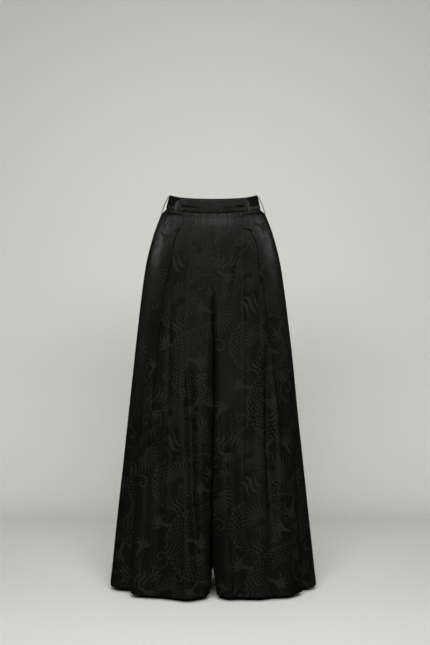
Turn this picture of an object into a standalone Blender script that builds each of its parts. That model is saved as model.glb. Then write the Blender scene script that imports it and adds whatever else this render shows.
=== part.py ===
"""Wide-leg trousers in satin, filled out as if worn.

Metres, +Z up, the front towards -Y and the wearer's left towards +X. The origin is in the middle of the waist,
level with the waist seam at the sides. Heights in the tables run down from there to the hem.
"""

import bpy
import numpy as np

COLLECTION = "trousers"

# Driving dimensions
WALL = 0.0012
SEAM_GAP = 0.0003
BAND_HEIGHT = 0.0350
HEM_HEIGHT = -1.0
CROTCH_HEIGHT = -0.300
INSEAM_Y = 0.012
WAIST_DIP = {"front": 0.0165, "back": 0.0050}
DIP_END = -0.200
RISE_START = {"front": -0.200, "back": -0.160}
ROUNDNESS = {"front": 2.30, "back": 2.15}
LEG_GAP = 0.0006
HEM_SPLIT_GAP = 0.0085
HEM_SPLIT_START = -0.920
HEM_SPLIT_POWER = 1.3

# The waistband, its tabs in front and the loops at the sides
BAND_WALL = 0.0018
BAND_SPLIT_X = 0.0865
BAND_FRONT_COLUMNS = 21
BAND_BACK_COLUMNS = 45
BAND_HEIGHTS = (0.0004, 0.0090, 0.0180, 0.0270, BAND_HEIGHT)
BAND_CROWN = 0.0006
LAID_GAP = 0.0006
TAB_WALL = 0.0011
TAB_COLUMNS = 6
LOOP_WALL = 0.0014
LOOP_WIDTH = 0.0100
LOOP_TOP = 0.0310
LOOP_BOTTOM = -0.0165
LOOP_BOW = 0.0024
LOOP_BOW_POWER = 0.7
LOOP_SEAT = 0.0006
LOOP_ROWS = 13

# A pressed fold: an arc over the edge, a straight run under it and a tight arc back
EDGE_RADIUS = 1.15 * WALL
UNDER_RADIUS = 0.45 * WALL
FOLD_RUN = 0.0038
FOLD_EASE = 1.20
FOLD_SHORT = 0.0016
EDGE_STEPS = 3
UNDER_STEPS = 2

# Columns of the front and back panels in each stretch between stations
SIDE_COLUMNS = 10
UNDERLAY_COLUMNS = 2
INNER_COLUMNS = 3
CREASE_HALF = 0.0045
CENTRE_COLUMNS = 4
CORNER_COLUMNS = 5
WALL_COLUMNS = 4
BACK_COLUMNS = 15
LEAST_CORNER_X = 0.030
LEAST_WALL = 0.004

# Points along a section's quarter superellipse, and along its corner and its wall
DENSE = 600
CORNER_DENSE = 60
SLOPE_STEP = 0.002


def named(columns, rows):
    """A table as a dictionary of arrays, one for each named column."""
    return dict(zip(columns, np.array(rows, dtype=float).T))


OUTLINE = named(
    ("height", "half_width", "front_depth", "back_depth", "front_corner", "back_corner"),
    (
        (0.035, 0.1170, 0.0950, 0.0820, 0.010, 0.010),
        (0.000, 0.1242, 0.1000, 0.0860, 0.010, 0.010),
        (-0.004, 0.1250, 0.1006, 0.0866, 0.010, 0.010),
        (-0.014, 0.1350, 0.1068, 0.0958, 0.010, 0.010),
        (-0.050, 0.1515, 0.1160, 0.1120, 0.010, 0.012),
        (-0.100, 0.1670, 0.1230, 0.1250, 0.010, 0.014),
        (-0.150, 0.1785, 0.1270, 0.1320, 0.010, 0.016),
        (-0.210, 0.1875, 0.1295, 0.1350, 0.012, 0.020),
        (-0.300, 0.1985, 0.1330, 0.1330, 0.016, 0.024),
        (-0.400, 0.2105, 0.1375, 0.1300, 0.020, 0.026),
        (-0.600, 0.2320, 0.1500, 0.1350, 0.026, 0.030),
        (-0.800, 0.2530, 0.1660, 0.1460, 0.034, 0.036),
        (-1.000, 0.2740, 0.1790, 0.1600, 0.044, 0.044),
    ),
)

PLEAT_COLUMNS = ("height", "outer_x", "inner_x", "crease_x", "fold_degrees")
PLEAT = {
    "left": named(
        PLEAT_COLUMNS,
        (
            (0.000, 0.0870, 0.0850, 0.0750, 180),
            (-0.050, 0.0955, 0.0935, 0.0760, 180),
            (-0.090, 0.1125, 0.1105, 0.0765, 180),
            (-0.135, 0.1170, 0.1150, 0.0770, 180),
            (-0.200, 0.1290, 0.1190, 0.0775, 180),
            (-0.310, 0.1435, 0.1210, 0.0780, 180),
            (-0.460, 0.1640, 0.1285, 0.0780, 170),
            (-0.560, 0.1735, 0.1310, 0.0775, 125),
            (-0.640, 0.1780, 0.1330, 0.0770, 80),
            (-0.720, 0.1810, 0.1355, 0.0770, 45),
            (-0.820, 0.1850, 0.1390, 0.0770, 20),
            (-1.000, 0.1930, 0.1470, 0.0770, 4),
        ),
    ),
    "right": named(
        PLEAT_COLUMNS,
        (
            (0.000, 0.0850, 0.0830, 0.0600, 180),
            (-0.050, 0.0910, 0.0890, 0.0610, 180),
            (-0.080, 0.1010, 0.0990, 0.0620, 180),
            (-0.135, 0.1090, 0.1070, 0.0640, 180),
            (-0.200, 0.1240, 0.1080, 0.0690, 180),
            (-0.310, 0.1400, 0.1120, 0.0740, 180),
            (-0.460, 0.1555, 0.1165, 0.0740, 170),
            (-0.560, 0.1635, 0.1185, 0.0740, 130),
            (-0.640, 0.1710, 0.1200, 0.0740, 85),
            (-0.720, 0.1755, 0.1230, 0.0740, 45),
            (-0.820, 0.1805, 0.1270, 0.0740, 20),
            (-1.000, 0.1880, 0.1350, 0.0740, 4),
        ),
    ),
}

# Soft folds: a station (0 outseam, 1 and 2 the pleat's edges, 3 crease, 4 corner, 5 inner seam, in between by share),
# the heights where the fold starts and is full, its half widths towards the outseam and the inseam, and its rise
FOLD_COLUMNS = ("station", "start", "full", "outer_width", "inner_width", "rise")
SOFT_FOLDS = {
    "front_left": named(
        FOLD_COLUMNS,
        (
            (0.54, -0.38, -1.00, 0.028, 0.018, -0.030),
            (1.20, -0.45, -1.00, 0.030, 0.030, 0.012),
            (2.40, -0.35, -0.95, 0.018, 0.018, 0.008),
            (3.00, -0.045, -0.09, 0.0045, 0.0045, 0.0012),
            (3.55, -0.50, -1.00, 0.020, 0.020, -0.005),
        ),
    ),
    "front_right": named(
        FOLD_COLUMNS,
        (
            (0.66, -0.34, -1.00, 0.034, 0.015, -0.046),
            (0.92, -0.50, -1.00, 0.012, 0.020, 0.006),
            (2.10, -0.45, -1.00, 0.022, 0.022, -0.004),
            (3.00, -0.045, -0.09, 0.0045, 0.0045, 0.0006),
            (3.40, -0.45, -1.00, 0.030, 0.026, 0.014),
        ),
    ),
    "back_left": named(
        FOLD_COLUMNS,
        (
            (0.34, -0.40, -1.00, 0.022, 0.024, -0.024),
            (0.62, -0.35, -1.00, 0.026, 0.026, 0.012),
            (0.80, -0.50, -1.00, 0.020, 0.022, -0.016),
            (0.97, -0.42, -1.00, 0.022, 0.018, 0.010),
        ),
    ),
    "back_right": named(
        FOLD_COLUMNS,
        (
            (0.38, -0.36, -1.00, 0.024, 0.022, -0.030),
            (0.66, -0.44, -1.00, 0.024, 0.024, 0.010),
            (0.86, -0.38, -1.00, 0.022, 0.020, -0.014),
            (1.00, -0.55, -1.00, 0.018, 0.018, 0.010),
        ),
    ),
}

# The front tabs: at each height their two sides, and how much lower the outer side lies than the inner
TAB_TABLE_COLUMNS = ("height", "slant", "outer_x", "inner_x")
TABS = {
    "left": named(
        TAB_TABLE_COLUMNS,
        (
            (0.0275, 0.0000, 0.0890, 0.0850),
            (0.0180, 0.0000, 0.0915, 0.0820),
            (0.0090, 0.0000, 0.0935, 0.0800),
            (0.0000, 0.0000, 0.0955, 0.0780),
            (-0.0040, 0.0000, 0.0965, 0.0775),
            (-0.0140, 0.0000, 0.0985, 0.0765),
            (-0.0290, 0.0020, 0.1015, 0.0755),
            (-0.0430, 0.0080, 0.1030, 0.0755),
        ),
    ),
    "right": named(
        TAB_TABLE_COLUMNS,
        (
            (0.0275, 0.0000, 0.0965, 0.0875),
            (0.0180, 0.0000, 0.0970, 0.0870),
            (0.0090, 0.0000, 0.0975, 0.0870),
            (0.0000, 0.0000, 0.0980, 0.0865),
            (-0.0040, 0.0000, 0.0985, 0.0850),
            (-0.0140, 0.0000, 0.0990, 0.0815),
            (-0.0290, 0.0000, 0.0985, 0.0820),
            (-0.0430, 0.0020, 0.0925, 0.0875),
        ),
    ),
}

FRONT_ROWS = (
    0.000, -0.004, -0.014, -0.029, -0.045, -0.066, -0.094, -0.128, -0.165, -0.200, -0.228, -0.254, -0.276,
    -0.290, -0.300, -0.335, -0.395, -0.460, -0.530, -0.590, -0.650, -0.720, -0.810, -0.910, -1.000,
)
BACK_ROWS = (
    0.000, -0.004, -0.014, -0.040, -0.080, -0.125, -0.165, -0.200, -0.232, -0.260, -0.281, -0.294, -0.300,
    -0.340, -0.420, -0.520, -0.630, -0.750, -0.870, -1.000,
)


def at(table, name, height):
    """A table's column at a height: a smooth curve through its rows that never swings past them."""
    heights = table["height"][::-1]
    values = table[name][::-1]
    step = np.diff(heights)
    secant = np.diff(values) / step
    product = secant[:-1] * secant[1:]
    total = secant[:-1] + secant[1:]
    inner = np.where(product > 0, 2 * product / np.where(total == 0, 1, total), 0.0)
    slope = np.concatenate([secant[:1], inner, secant[-1:]])
    height = np.clip(height, heights[0], heights[-1])
    i = np.clip(np.searchsorted(heights, height) - 1, 0, len(step) - 1)
    t = (height - heights[i]) / step[i]
    return (
        (2 * t**3 - 3 * t**2 + 1) * values[i]
        + (t**3 - 2 * t**2 + t) * step[i] * slope[i]
        + (3 * t**2 - 2 * t**3) * values[i + 1]
        + (t**3 - t**2) * step[i] * slope[i + 1]
    )


def ease(value, start, full):
    """0 before start, 1 after full, and a smooth curve between."""
    t = np.clip((value - start) / (full - start), 0, 1)
    return t * t * (3 - 2 * t)


def leg_gap(height):
    """Half the gap between the legs: a seam above the crotch, a hair below it, and a split at the hem."""
    if height > CROTCH_HEIGHT:
        return SEAM_GAP / 2
    opening = max((HEM_SPLIT_START - height) / (HEM_SPLIT_START - HEM_HEIGHT), 0)
    return LEG_GAP + HEM_SPLIT_GAP * opening**HEM_SPLIT_POWER


def valley(height, face):
    """How far the panel runs back between the legs: the crotch curve's quarter ellipse, then to the inseam."""
    depth = at(OUTLINE, face + "_depth", height)
    full = depth + INSEAM_Y if face == "front" else depth - INSEAM_Y
    start = RISE_START[face]
    share = np.clip((start - height) / (start - CROTCH_HEIGHT), 0, 1)
    return full * (1 - np.sqrt(1 - share**2))


def outline(height, face):
    """One panel's outer line at a height, from outseam to inner seam, as points, arc lengths and normals.

    It is a quarter superellipse, a round corner into the gap between the legs, and a straight wall back.
    The line is worked out as a front one, and turned over for the back.
    """
    half_width = at(OUTLINE, "half_width", height)
    depth = at(OUTLINE, face + "_depth", height)
    radius = at(OUTLINE, face + "_corner", height)
    gap = leg_gap(height)
    back = valley(height, face)
    swing = np.arccos(1 - min(back / radius, 1))
    corner_x = gap + radius * np.sin(swing)
    power = ROUNDNESS[face]
    turn = np.linspace(0, np.pi / 2, DENSE)
    side_x = half_width * np.cos(turn) ** (2 / power)
    side_y = -depth * np.sin(turn) ** (2 / power)
    corner_y = np.interp(corner_x, side_x[::-1], side_y[::-1])
    kept = side_x > corner_x
    arc = np.linspace(0, swing, CORNER_DENSE)
    arc_x = corner_x - radius * np.sin(arc)
    arc_y = corner_y + radius * (1 - np.cos(arc))
    wall_y = np.linspace(arc_y[-1], max(back - depth, arc_y[-1]), CORNER_DENSE)[1:]
    x = np.concatenate([side_x[kept], arc_x, np.full(wall_y.shape, gap)])
    y = np.concatenate([side_y[kept], arc_y, wall_y])
    length = np.concatenate([[0], np.cumsum(np.hypot(np.diff(x), np.diff(y)))])
    fresh = np.concatenate([[True], np.diff(length) > 1e-9])
    x, y, length = x[fresh], y[fresh], length[fresh]
    along_x = np.gradient(x, length)
    along_y = np.gradient(y, length)
    scale = np.hypot(along_x, along_y)
    normal = np.stack([-along_y / scale, along_x / scale], axis=1)
    corner_end = length[-1] - (wall_y[-1] - arc_y[-1])
    return np.stack([x, y], axis=1), length, normal, corner_x, corner_end


def fold_profile(degrees, looser):
    """A pressed fold's outer face past its edge: how far along, and how far down, at each of its columns.

    It heads along the cloth, turns down by the angle, runs straight, and turns back. Both arcs keep their length,
    so their radius grows as the fold opens. A looser fold's layers stand further apart.
    """
    angle = np.radians(max(degrees, 1.0))
    edge_radius = EDGE_RADIUS * looser * np.pi / angle
    under_radius = UNDER_RADIUS * looser * np.pi / angle
    over = np.linspace(0, angle, EDGE_STEPS + 1)
    along = edge_radius * np.sin(over)
    down = edge_radius * (1 - np.cos(over))
    back = angle - np.linspace(0, angle, UNDER_STEPS + 1)
    under_along = along[-1] + FOLD_RUN * np.cos(angle) + under_radius * (np.sin(angle) - np.sin(back))
    under_down = down[-1] + FOLD_RUN * np.sin(angle) + under_radius * (np.cos(back) - np.cos(angle))
    edge = edge_radius * np.sin(min(angle, np.pi / 2))
    return np.concatenate([along, under_along]) - edge, np.concatenate([down, under_down])


def spread(start, end, count):
    """Evenly spaced places after start and before end."""
    return np.linspace(start, end, count + 2)[1:-1]


def inner_columns(corner, corner_end, end):
    """The last columns' places: those round the corner between the legs, and those down the wall behind it."""
    turn = min(corner_end, end - LEAST_WALL)
    return np.concatenate([
        np.linspace(corner, turn, CORNER_COLUMNS + 1),
        np.linspace(turn, end, WALL_COLUMNS + 1)[1:],
    ])


def front_columns(height, side, length, points, corner_x, corner_end):
    """Where each column of a front panel lies along its outline, how far down, and the stations' places."""
    pleat = PLEAT[side]
    across = [at(pleat, name, height) for name in ("outer_x", "inner_x", "crease_x")]
    across.append(max(corner_x, LEAST_CORNER_X))
    reach = points[:, 0] >= corner_x
    outer, inner, crease, corner = np.interp(-np.array(across), -points[reach, 0], length[reach])
    start = SEAM_GAP / 2
    end = length[-1] - (SEAM_GAP / 2 if height <= CROTCH_HEIGHT else 0)
    along, down = fold_profile(at(pleat, "fold_degrees", height), FOLD_EASE * flare(height))
    outer_edge = outer + along
    inner_edge = inner - along[::-1]
    runs = (
        (np.array([start]), 0.0),
        (spread(start, outer_edge[0], SIDE_COLUMNS), 0.0),
        (outer_edge, down),
        (spread(outer_edge[-1], inner_edge[0], UNDERLAY_COLUMNS), down[-1]),
        (inner_edge, down[::-1]),
        (spread(inner_edge[-1], crease - CREASE_HALF, INNER_COLUMNS), 0.0),
        (crease + CREASE_HALF * np.array([-1, 0, 1]), 0.0),
        (spread(crease + CREASE_HALF, corner, CENTRE_COLUMNS), 0.0),
        (inner_columns(corner, corner_end, end), 0.0),
    )
    places = np.concatenate([run for run, _ in runs])
    depths = np.concatenate([np.broadcast_to(deep, run.shape) for run, deep in runs])
    return places, depths, np.array([start, outer, inner, crease, corner, end])


def back_columns(height, length, points, corner_x, corner_end):
    """Where each column of a back panel lies along its outline; its stations are the outseam and the corner."""
    start = SEAM_GAP / 2
    end = length[-1] - (SEAM_GAP / 2 if height <= CROTCH_HEIGHT else 0)
    corner = np.interp(-max(corner_x, LEAST_CORNER_X), -points[:, 0], length)
    side = np.linspace(start, corner, BACK_COLUMNS + 1)[:-1]
    places = np.concatenate([side, inner_columns(corner, corner_end, end)])
    return places, np.zeros(places.shape), np.array([start, corner])


def soft_rise(folds, height, places, stations):
    """The height of the soft folds over the outline: a sum of bumps, each growing from its start down the leg."""
    rise = np.zeros(places.shape)
    numbers = np.arange(len(stations))
    for i in range(len(folds["station"])):
        middle = np.interp(folds["station"][i], numbers, stations)
        grown = ease(height, folds["start"][i], folds["full"][i])
        offset = places - middle
        width = np.where(offset < 0, folds["outer_width"][i], folds["inner_width"][i])
        rise += folds["rise"][i] * grown * np.exp(-((offset / width) ** 2))
    return rise


def panel_row(height, face, side):
    """One row of a leg panel's outer face, in three dimensions, from outseam to inner seam."""
    points, length, normal, corner_x, corner_end = outline(height, face)
    if face == "front":
        places, down, stations = front_columns(height, side, length, points, corner_x, corner_end)
    else:
        places, down, stations = back_columns(height, length, points, corner_x, corner_end)
    rise = soft_rise(SOFT_FOLDS[face + "_" + side], height, places, stations) - down
    x = np.interp(places, length, points[:, 0]) + rise * np.interp(places, length, normal[:, 0])
    y = np.interp(places, length, points[:, 1]) + rise * np.interp(places, length, normal[:, 1])
    x = np.maximum(x, leg_gap(height))
    depth = at(OUTLINE, face + "_depth", height)
    dip = WAIST_DIP[face] * ease(height, DIP_END, 0) * np.clip(y / depth, -1, 1) ** 2
    short = FOLD_SHORT * down / (down.max() + WALL) * ease(height, FRONT_ROWS[2], 0)
    z = height - dip - short
    if face == "back":
        y = -y
    if side == "right":
        x = -x
    return np.stack([x, y, z + np.zeros(x.shape)], axis=1)


def grid_object(name, rows, material, flip, thickness):
    """An open sheet of cloth from rows of points, given its wall inwards by a Solidify modifier."""
    points = np.array(rows)
    down, across = points.shape[:2]
    index = np.arange(down * across).reshape(down, across)
    quads = np.stack([index[:-1, :-1], index[1:, :-1], index[1:, 1:], index[:-1, 1:]], axis=-1).reshape(-1, 4)
    if flip:
        quads = quads[:, ::-1]
    mesh = bpy.data.meshes.new(name)
    mesh.from_pydata(points.reshape(-1, 3).tolist(), [], quads.tolist())
    mesh.shade_smooth()
    mesh.materials.append(material)
    thing = bpy.data.objects.new(name, mesh)
    bpy.data.collections[COLLECTION].objects.link(thing)
    wall = thing.modifiers.new("Wall", "SOLIDIFY")
    wall.thickness = thickness
    wall.offset = -1
    return thing


def make_leg_panels(satin):
    for face, heights in (("front", FRONT_ROWS), ("back", BACK_ROWS)):
        for side in ("left", "right"):
            heights = np.array(heights, dtype=float)
            heights[0] = -SEAM_GAP / 2
            rows = [panel_row(height, face, side) for height in heights]
            flip = (face == "front") == (side == "left")
            grid_object("leg_" + face + "_" + side, rows, satin, flip, WALL)


def half_ring(height):
    """Half the band's outer line at a height, from the middle of the front round one side to that of the back."""
    front, _, front_normal, _, _ = outline(height, "front")
    back, _, back_normal, _, _ = outline(height, "back")
    turned = np.array([1, -1])
    points = np.concatenate([front[::-1], (back * turned)[1:]])
    normals = np.concatenate([front_normal[::-1], (back_normal * turned)[1:]])
    length = np.concatenate([[0], np.cumsum(np.hypot(*np.diff(points, axis=0).T))])
    return points, normals, length


def waist_dip(y, height):
    """How far the waistline drops at a point, from nothing at the sides to the full dip at the middle."""
    depth = np.where(y < 0, at(OUTLINE, "front_depth", height), at(OUTLINE, "back_depth", height))
    dip = np.where(y < 0, WAIST_DIP["front"], WAIST_DIP["back"])
    return dip * np.clip(y / depth, -1, 1) ** 2


def flare(height):
    """How much further apart two layers stand level than square to the cloth, where it leans outwards."""
    above = at(OUTLINE, "half_width", height + SLOPE_STEP)
    below = at(OUTLINE, "half_width", height - SLOPE_STEP)
    return np.hypot(1, (below - above) / (2 * SLOPE_STEP))


def on_band(height, x, outwards):
    """A point on the front of the garment at a height and a distance from the middle, moved out along its section."""
    points, _, normals, corner_x, _ = outline(height, "front")
    reach = points[:, 0] >= corner_x
    lines = np.concatenate([points, normals], axis=1)[reach].T
    on_x, on_y, normal_x, normal_y = [np.interp(-x, -points[reach, 0], line) for line in lines]
    dip = waist_dip(on_y, height) * ease(height, DIP_END, 0)
    return np.array([on_x + outwards * normal_x, on_y + outwards * normal_y, height - dip])


def make_waistband(jacquard, plain):
    """The front band between the tabs, and one plain band from there round the sides and the back."""
    front_rows = []
    back_rows = []
    for height in BAND_HEIGHTS:
        points, normals, length = half_ring(height)
        full = length[-1]
        split = np.interp(BAND_SPLIT_X, points[: DENSE // 2, 0], length[: DENSE // 2])
        crown = BAND_CROWN * np.sin(np.pi * height / BAND_HEIGHT)
        front = np.linspace(-split, split, BAND_FRONT_COLUMNS)
        back = np.linspace(split + SEAM_GAP, 2 * full - split - SEAM_GAP, BAND_BACK_COLUMNS)
        for places, rows in ((front, front_rows), (back, back_rows)):
            folded = np.where(places > full, 2 * full - places, np.abs(places))
            mirrored = np.where((places < 0) | (places > full), -1, 1)
            x = np.interp(folded, length, points[:, 0]) + crown * np.interp(folded, length, normals[:, 0])
            y = np.interp(folded, length, points[:, 1]) + crown * np.interp(folded, length, normals[:, 1])
            z = height - waist_dip(np.interp(folded, length, points[:, 1]), height)
            rows.append(np.stack([x * mirrored, y, z], axis=1))
    grid_object("waistband_front", front_rows, jacquard, True, BAND_WALL)
    grid_object("waistband_back", back_rows, plain, True, BAND_WALL)


def make_front_tabs(jacquard):
    """A flat tab on each side of the front, laid over the band and the top of the leg."""
    for side, table in TABS.items():
        rows = []
        for i, height in enumerate(table["height"]):
            share = np.linspace(0, 1, TAB_COLUMNS)
            across = table["outer_x"][i] + share * (table["inner_x"][i] - table["outer_x"][i])
            heights = height - (1 - share) * table["slant"][i]
            out = (LAID_GAP + TAB_WALL) * flare(height) + BAND_CROWN * (height > 0)
            rows.append([on_band(h, x, out) for h, x in zip(heights, across)])
        rows = np.array(rows)
        if side == "right":
            rows[:, :, 0] *= -1
        grid_object("loop_front_" + side, rows, jacquard, side == "left", TAB_WALL)


def make_side_loops(jacquard):
    """A narrow strip at each side, seated on the band's top and on the hip, and bowed clear in between."""
    share = np.linspace(0, 1, LOOP_ROWS)
    height = LOOP_TOP + share * (LOOP_BOTTOM - LOOP_TOP)
    seat = np.array([at(OUTLINE, "half_width", h) for h in height[[0, -1]]]) + LOOP_SEAT + LOOP_WALL
    x = seat[0] + share * (seat[1] - seat[0]) + LOOP_BOW * np.sin(np.pi * share) ** LOOP_BOW_POWER
    for side, mirrored in (("left", 1), ("right", -1)):
        rows = [[(mirrored * px, y, z) for y in (-LOOP_WIDTH / 2, LOOP_WIDTH / 2)] for px, z in zip(x, height)]
        grid_object("loop_side_" + side, rows, jacquard, side == "right", LOOP_WALL)


def cloth(name, colour, roughness):
    material = bpy.data.materials.new(name)
    material.use_nodes = True
    shader = material.node_tree.nodes["Principled BSDF"]
    shader.inputs["Base Color"].default_value = (*colour, 1)
    shader.inputs["Roughness"].default_value = roughness
    shader.inputs["Metallic"].default_value = 0
    return material


def clear_scene():
    for thing in list(bpy.data.objects):
        bpy.data.objects.remove(thing, do_unlink=True)


def main():
    clear_scene()
    bpy.context.scene.collection.children.link(bpy.data.collections.new(COLLECTION))
    satin = cloth("satin_jacquard", (0.012, 0.012, 0.012), 0.40)
    plain = cloth("plain_band", (0.004, 0.0045, 0.0035), 0.60)
    make_leg_panels(satin)
    make_waistband(satin, plain)
    make_front_tabs(satin)
    make_side_loops(satin)


main()
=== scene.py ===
"""The looks of wide-leg trousers in black satin jacquard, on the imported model.

It is laid out as a Blender add-on and run as a script. Metres, +Z up, the front towards -Y and the wearer's
left towards +X. The origin is in the middle of the waist, level with the waist seam at the sides, and
heights in the tables run down from there. Each leg panel is a thin sheet on its solid's outer form.
"""

from math import cos, pi, radians, sin

import bpy
import numpy as np
from bpy.props import FloatProperty, FloatVectorProperty, PointerProperty
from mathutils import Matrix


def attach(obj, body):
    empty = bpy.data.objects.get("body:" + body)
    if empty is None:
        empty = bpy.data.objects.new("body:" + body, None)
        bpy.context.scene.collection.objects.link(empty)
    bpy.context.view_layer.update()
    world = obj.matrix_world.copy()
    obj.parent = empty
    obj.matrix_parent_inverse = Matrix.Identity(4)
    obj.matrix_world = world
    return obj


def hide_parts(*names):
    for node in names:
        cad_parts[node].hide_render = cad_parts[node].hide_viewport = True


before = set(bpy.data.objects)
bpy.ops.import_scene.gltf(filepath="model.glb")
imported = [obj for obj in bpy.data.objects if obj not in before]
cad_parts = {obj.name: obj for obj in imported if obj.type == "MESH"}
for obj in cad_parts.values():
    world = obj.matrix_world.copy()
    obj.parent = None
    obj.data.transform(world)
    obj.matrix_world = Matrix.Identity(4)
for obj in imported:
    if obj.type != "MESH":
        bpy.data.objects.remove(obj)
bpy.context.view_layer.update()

bl_info = {
    "name": "Wide-leg trousers",
    "version": (1, 0, 0),
    "blender": (4, 5, 0),
    "location": "View3D > Sidebar > Trousers",
    "description": "Makes the cloth, waistband and sewing of satin jacquard trousers, and a studio for them",
    "category": "Object",
}


def named(columns, rows):
    """A table as a dictionary of arrays, one for each named column."""
    return dict(zip(columns, np.array(rows, dtype=float).T))


def tables(columns, **rows):
    """Tables that have the same columns, each under its own name."""
    return {name: named(columns, part) for name, part in rows.items()}


def stretches(ends, steps):
    """Places from the first end to the last, evenly spaced between each end and the next."""
    runs = [np.linspace(start, end, count + 1)[:-1] for start, end, count in zip(ends, ends[1:], steps)]
    return np.concatenate([*runs, ends[-1:]])


def linear(text):
    """An sRGB hex colour as linear light, with full alpha."""
    value = np.array([int(text[i : i + 2], 16) for i in (1, 3, 5)]) / 255
    light = np.where(value <= 0.04045, value / 12.92, ((value + 0.055) / 1.055) ** 2.4)
    return (*light.tolist(), 1.0)


# Sizes that the solids have too

WALL = 0.0012
BAND_HEIGHT = 0.035
HEM_HEIGHT = -1.0
CROTCH_HEIGHT = -0.3
INSEAM_Y = 0.012
WAIST_DIP = {"front": 0.0165, "back": 0.005}
DIP_END = -0.2
RISE_START = {"front": -0.2, "back": -0.16}
ROUNDNESS = {"front": 2.3, "back": 2.15}
LEG_GAP = 0.0006
HEM_SPLIT_GAP = 0.0085
HEM_SPLIT_START = -0.92
HEM_SPLIT_POWER = 1.3
BAND_SPLIT_X = 0.0865
BAND_CROWN = 0.0006
EDGE_RADIUS = 1.15 * WALL
UNDER_RADIUS = 0.45 * WALL
FOLD_RUN = 0.0038
FOLD_EASE = 1.2
FOLD_SHORT = 0.0016
TAB_RISE = 0.0017
LOOP_WIDTH = 0.01
LOOP_TOP = 0.031
LOOP_BOTTOM = -0.0165
LOOP_BOW = 0.0024
LOOP_BOW_POWER = 0.7
LOOP_RISE = 0.002
SEAM_GAP = 0.0002
ELASTIC_BOTTOM = 0.0092
STRIP_TOP = 0.009

# Columns of the panels in each stretch between stations, and rows down each piece

EDGE_STEPS = 6
UNDER_STEPS = 4
SIDE_COLUMNS = 52
UNDERLAY_COLUMNS = 9
INNER_COLUMNS = 20
CREASE_OFFSETS = 0.0045 * np.array([-1, -0.55, -0.25, 0, 0.25, 0.55, 1])
CENTRE_COLUMNS = 24
CORNER_COLUMNS = 14
WALL_COLUMNS = 9
BACK_COLUMNS = 84
LEAST_CORNER_X = 0.03
LEAST_WALL = 0.004
DENSE = 600
CORNER_DENSE = 60
SLOPE_STEP = 0.002
PANEL_ENDS = (-0.0001, -0.06, -0.33, -0.96, HEM_HEIGHT)
ROWS = {"front": stretches(PANEL_ENDS, (33, 77, 131, 19)), "back": stretches(PANEL_ENDS, (23, 55, 91, 13))}
BAND_ROWS = stretches((0.0002, 0.004, 0.031, BAND_HEIGHT), (5, 21, 6))
BAND_COLUMNS = {"front_band": 150, "elastic_band": 900, "hip_strip": 420}
STRIP_ROWS = 14
TAB_ROWS = 60
TAB_COLUMNS = 17
LOOP_ROWS = 48
LOOP_COLUMNS = 15

OUTLINE = named(
    ("height", "half_width", "front_depth", "back_depth", "front_corner", "back_corner"),
    (
        (0.035, 0.117, 0.095, 0.082, 0.01, 0.01),
        (0, 0.1242, 0.1, 0.086, 0.01, 0.01),
        (-0.004, 0.125, 0.1006, 0.0866, 0.01, 0.01),
        (-0.014, 0.135, 0.1068, 0.0958, 0.01, 0.01),
        (-0.05, 0.1515, 0.116, 0.112, 0.01, 0.012),
        (-0.1, 0.167, 0.123, 0.125, 0.01, 0.014),
        (-0.15, 0.1785, 0.127, 0.132, 0.01, 0.016),
        (-0.21, 0.1875, 0.1295, 0.135, 0.012, 0.02),
        (-0.3, 0.1985, 0.133, 0.133, 0.016, 0.024),
        (-0.4, 0.2105, 0.1375, 0.13, 0.02, 0.026),
        (-0.6, 0.232, 0.15, 0.135, 0.026, 0.03),
        (-0.8, 0.253, 0.166, 0.146, 0.034, 0.036),
        (-1, 0.274, 0.179, 0.16, 0.044, 0.044),
    ),
)

PLEAT = tables(
    ("height", "outer_x", "inner_x", "crease_x", "fold_degrees"),
    left=(
        (0, 0.087, 0.085, 0.075, 180),
        (-0.05, 0.0955, 0.0935, 0.076, 180),
        (-0.09, 0.1125, 0.1105, 0.0765, 180),
        (-0.135, 0.117, 0.115, 0.077, 180),
        (-0.2, 0.129, 0.119, 0.0775, 180),
        (-0.31, 0.1435, 0.121, 0.078, 180),
        (-0.46, 0.164, 0.1285, 0.078, 170),
        (-0.56, 0.1735, 0.131, 0.0775, 125),
        (-0.64, 0.178, 0.133, 0.077, 80),
        (-0.72, 0.181, 0.1355, 0.077, 45),
        (-0.82, 0.185, 0.139, 0.077, 20),
        (-1, 0.193, 0.147, 0.077, 4),
    ),
    right=(
        (0, 0.085, 0.083, 0.06, 180),
        (-0.05, 0.091, 0.089, 0.061, 180),
        (-0.08, 0.101, 0.099, 0.062, 180),
        (-0.135, 0.109, 0.107, 0.064, 180),
        (-0.2, 0.124, 0.108, 0.069, 180),
        (-0.31, 0.14, 0.112, 0.074, 180),
        (-0.46, 0.1555, 0.1165, 0.074, 170),
        (-0.56, 0.1635, 0.1185, 0.074, 130),
        (-0.64, 0.171, 0.12, 0.074, 85),
        (-0.72, 0.1755, 0.123, 0.074, 45),
        (-0.82, 0.1805, 0.127, 0.074, 20),
        (-1, 0.188, 0.135, 0.074, 4),
    ),
)

# The solids' soft folds: a station (0 outseam, 1 and 2 the pleat's edges, 3 crease, 4 corner, 5 inner
# seam), where the fold starts and is full, its half widths towards the outseam and the inseam, and its rise

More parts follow.
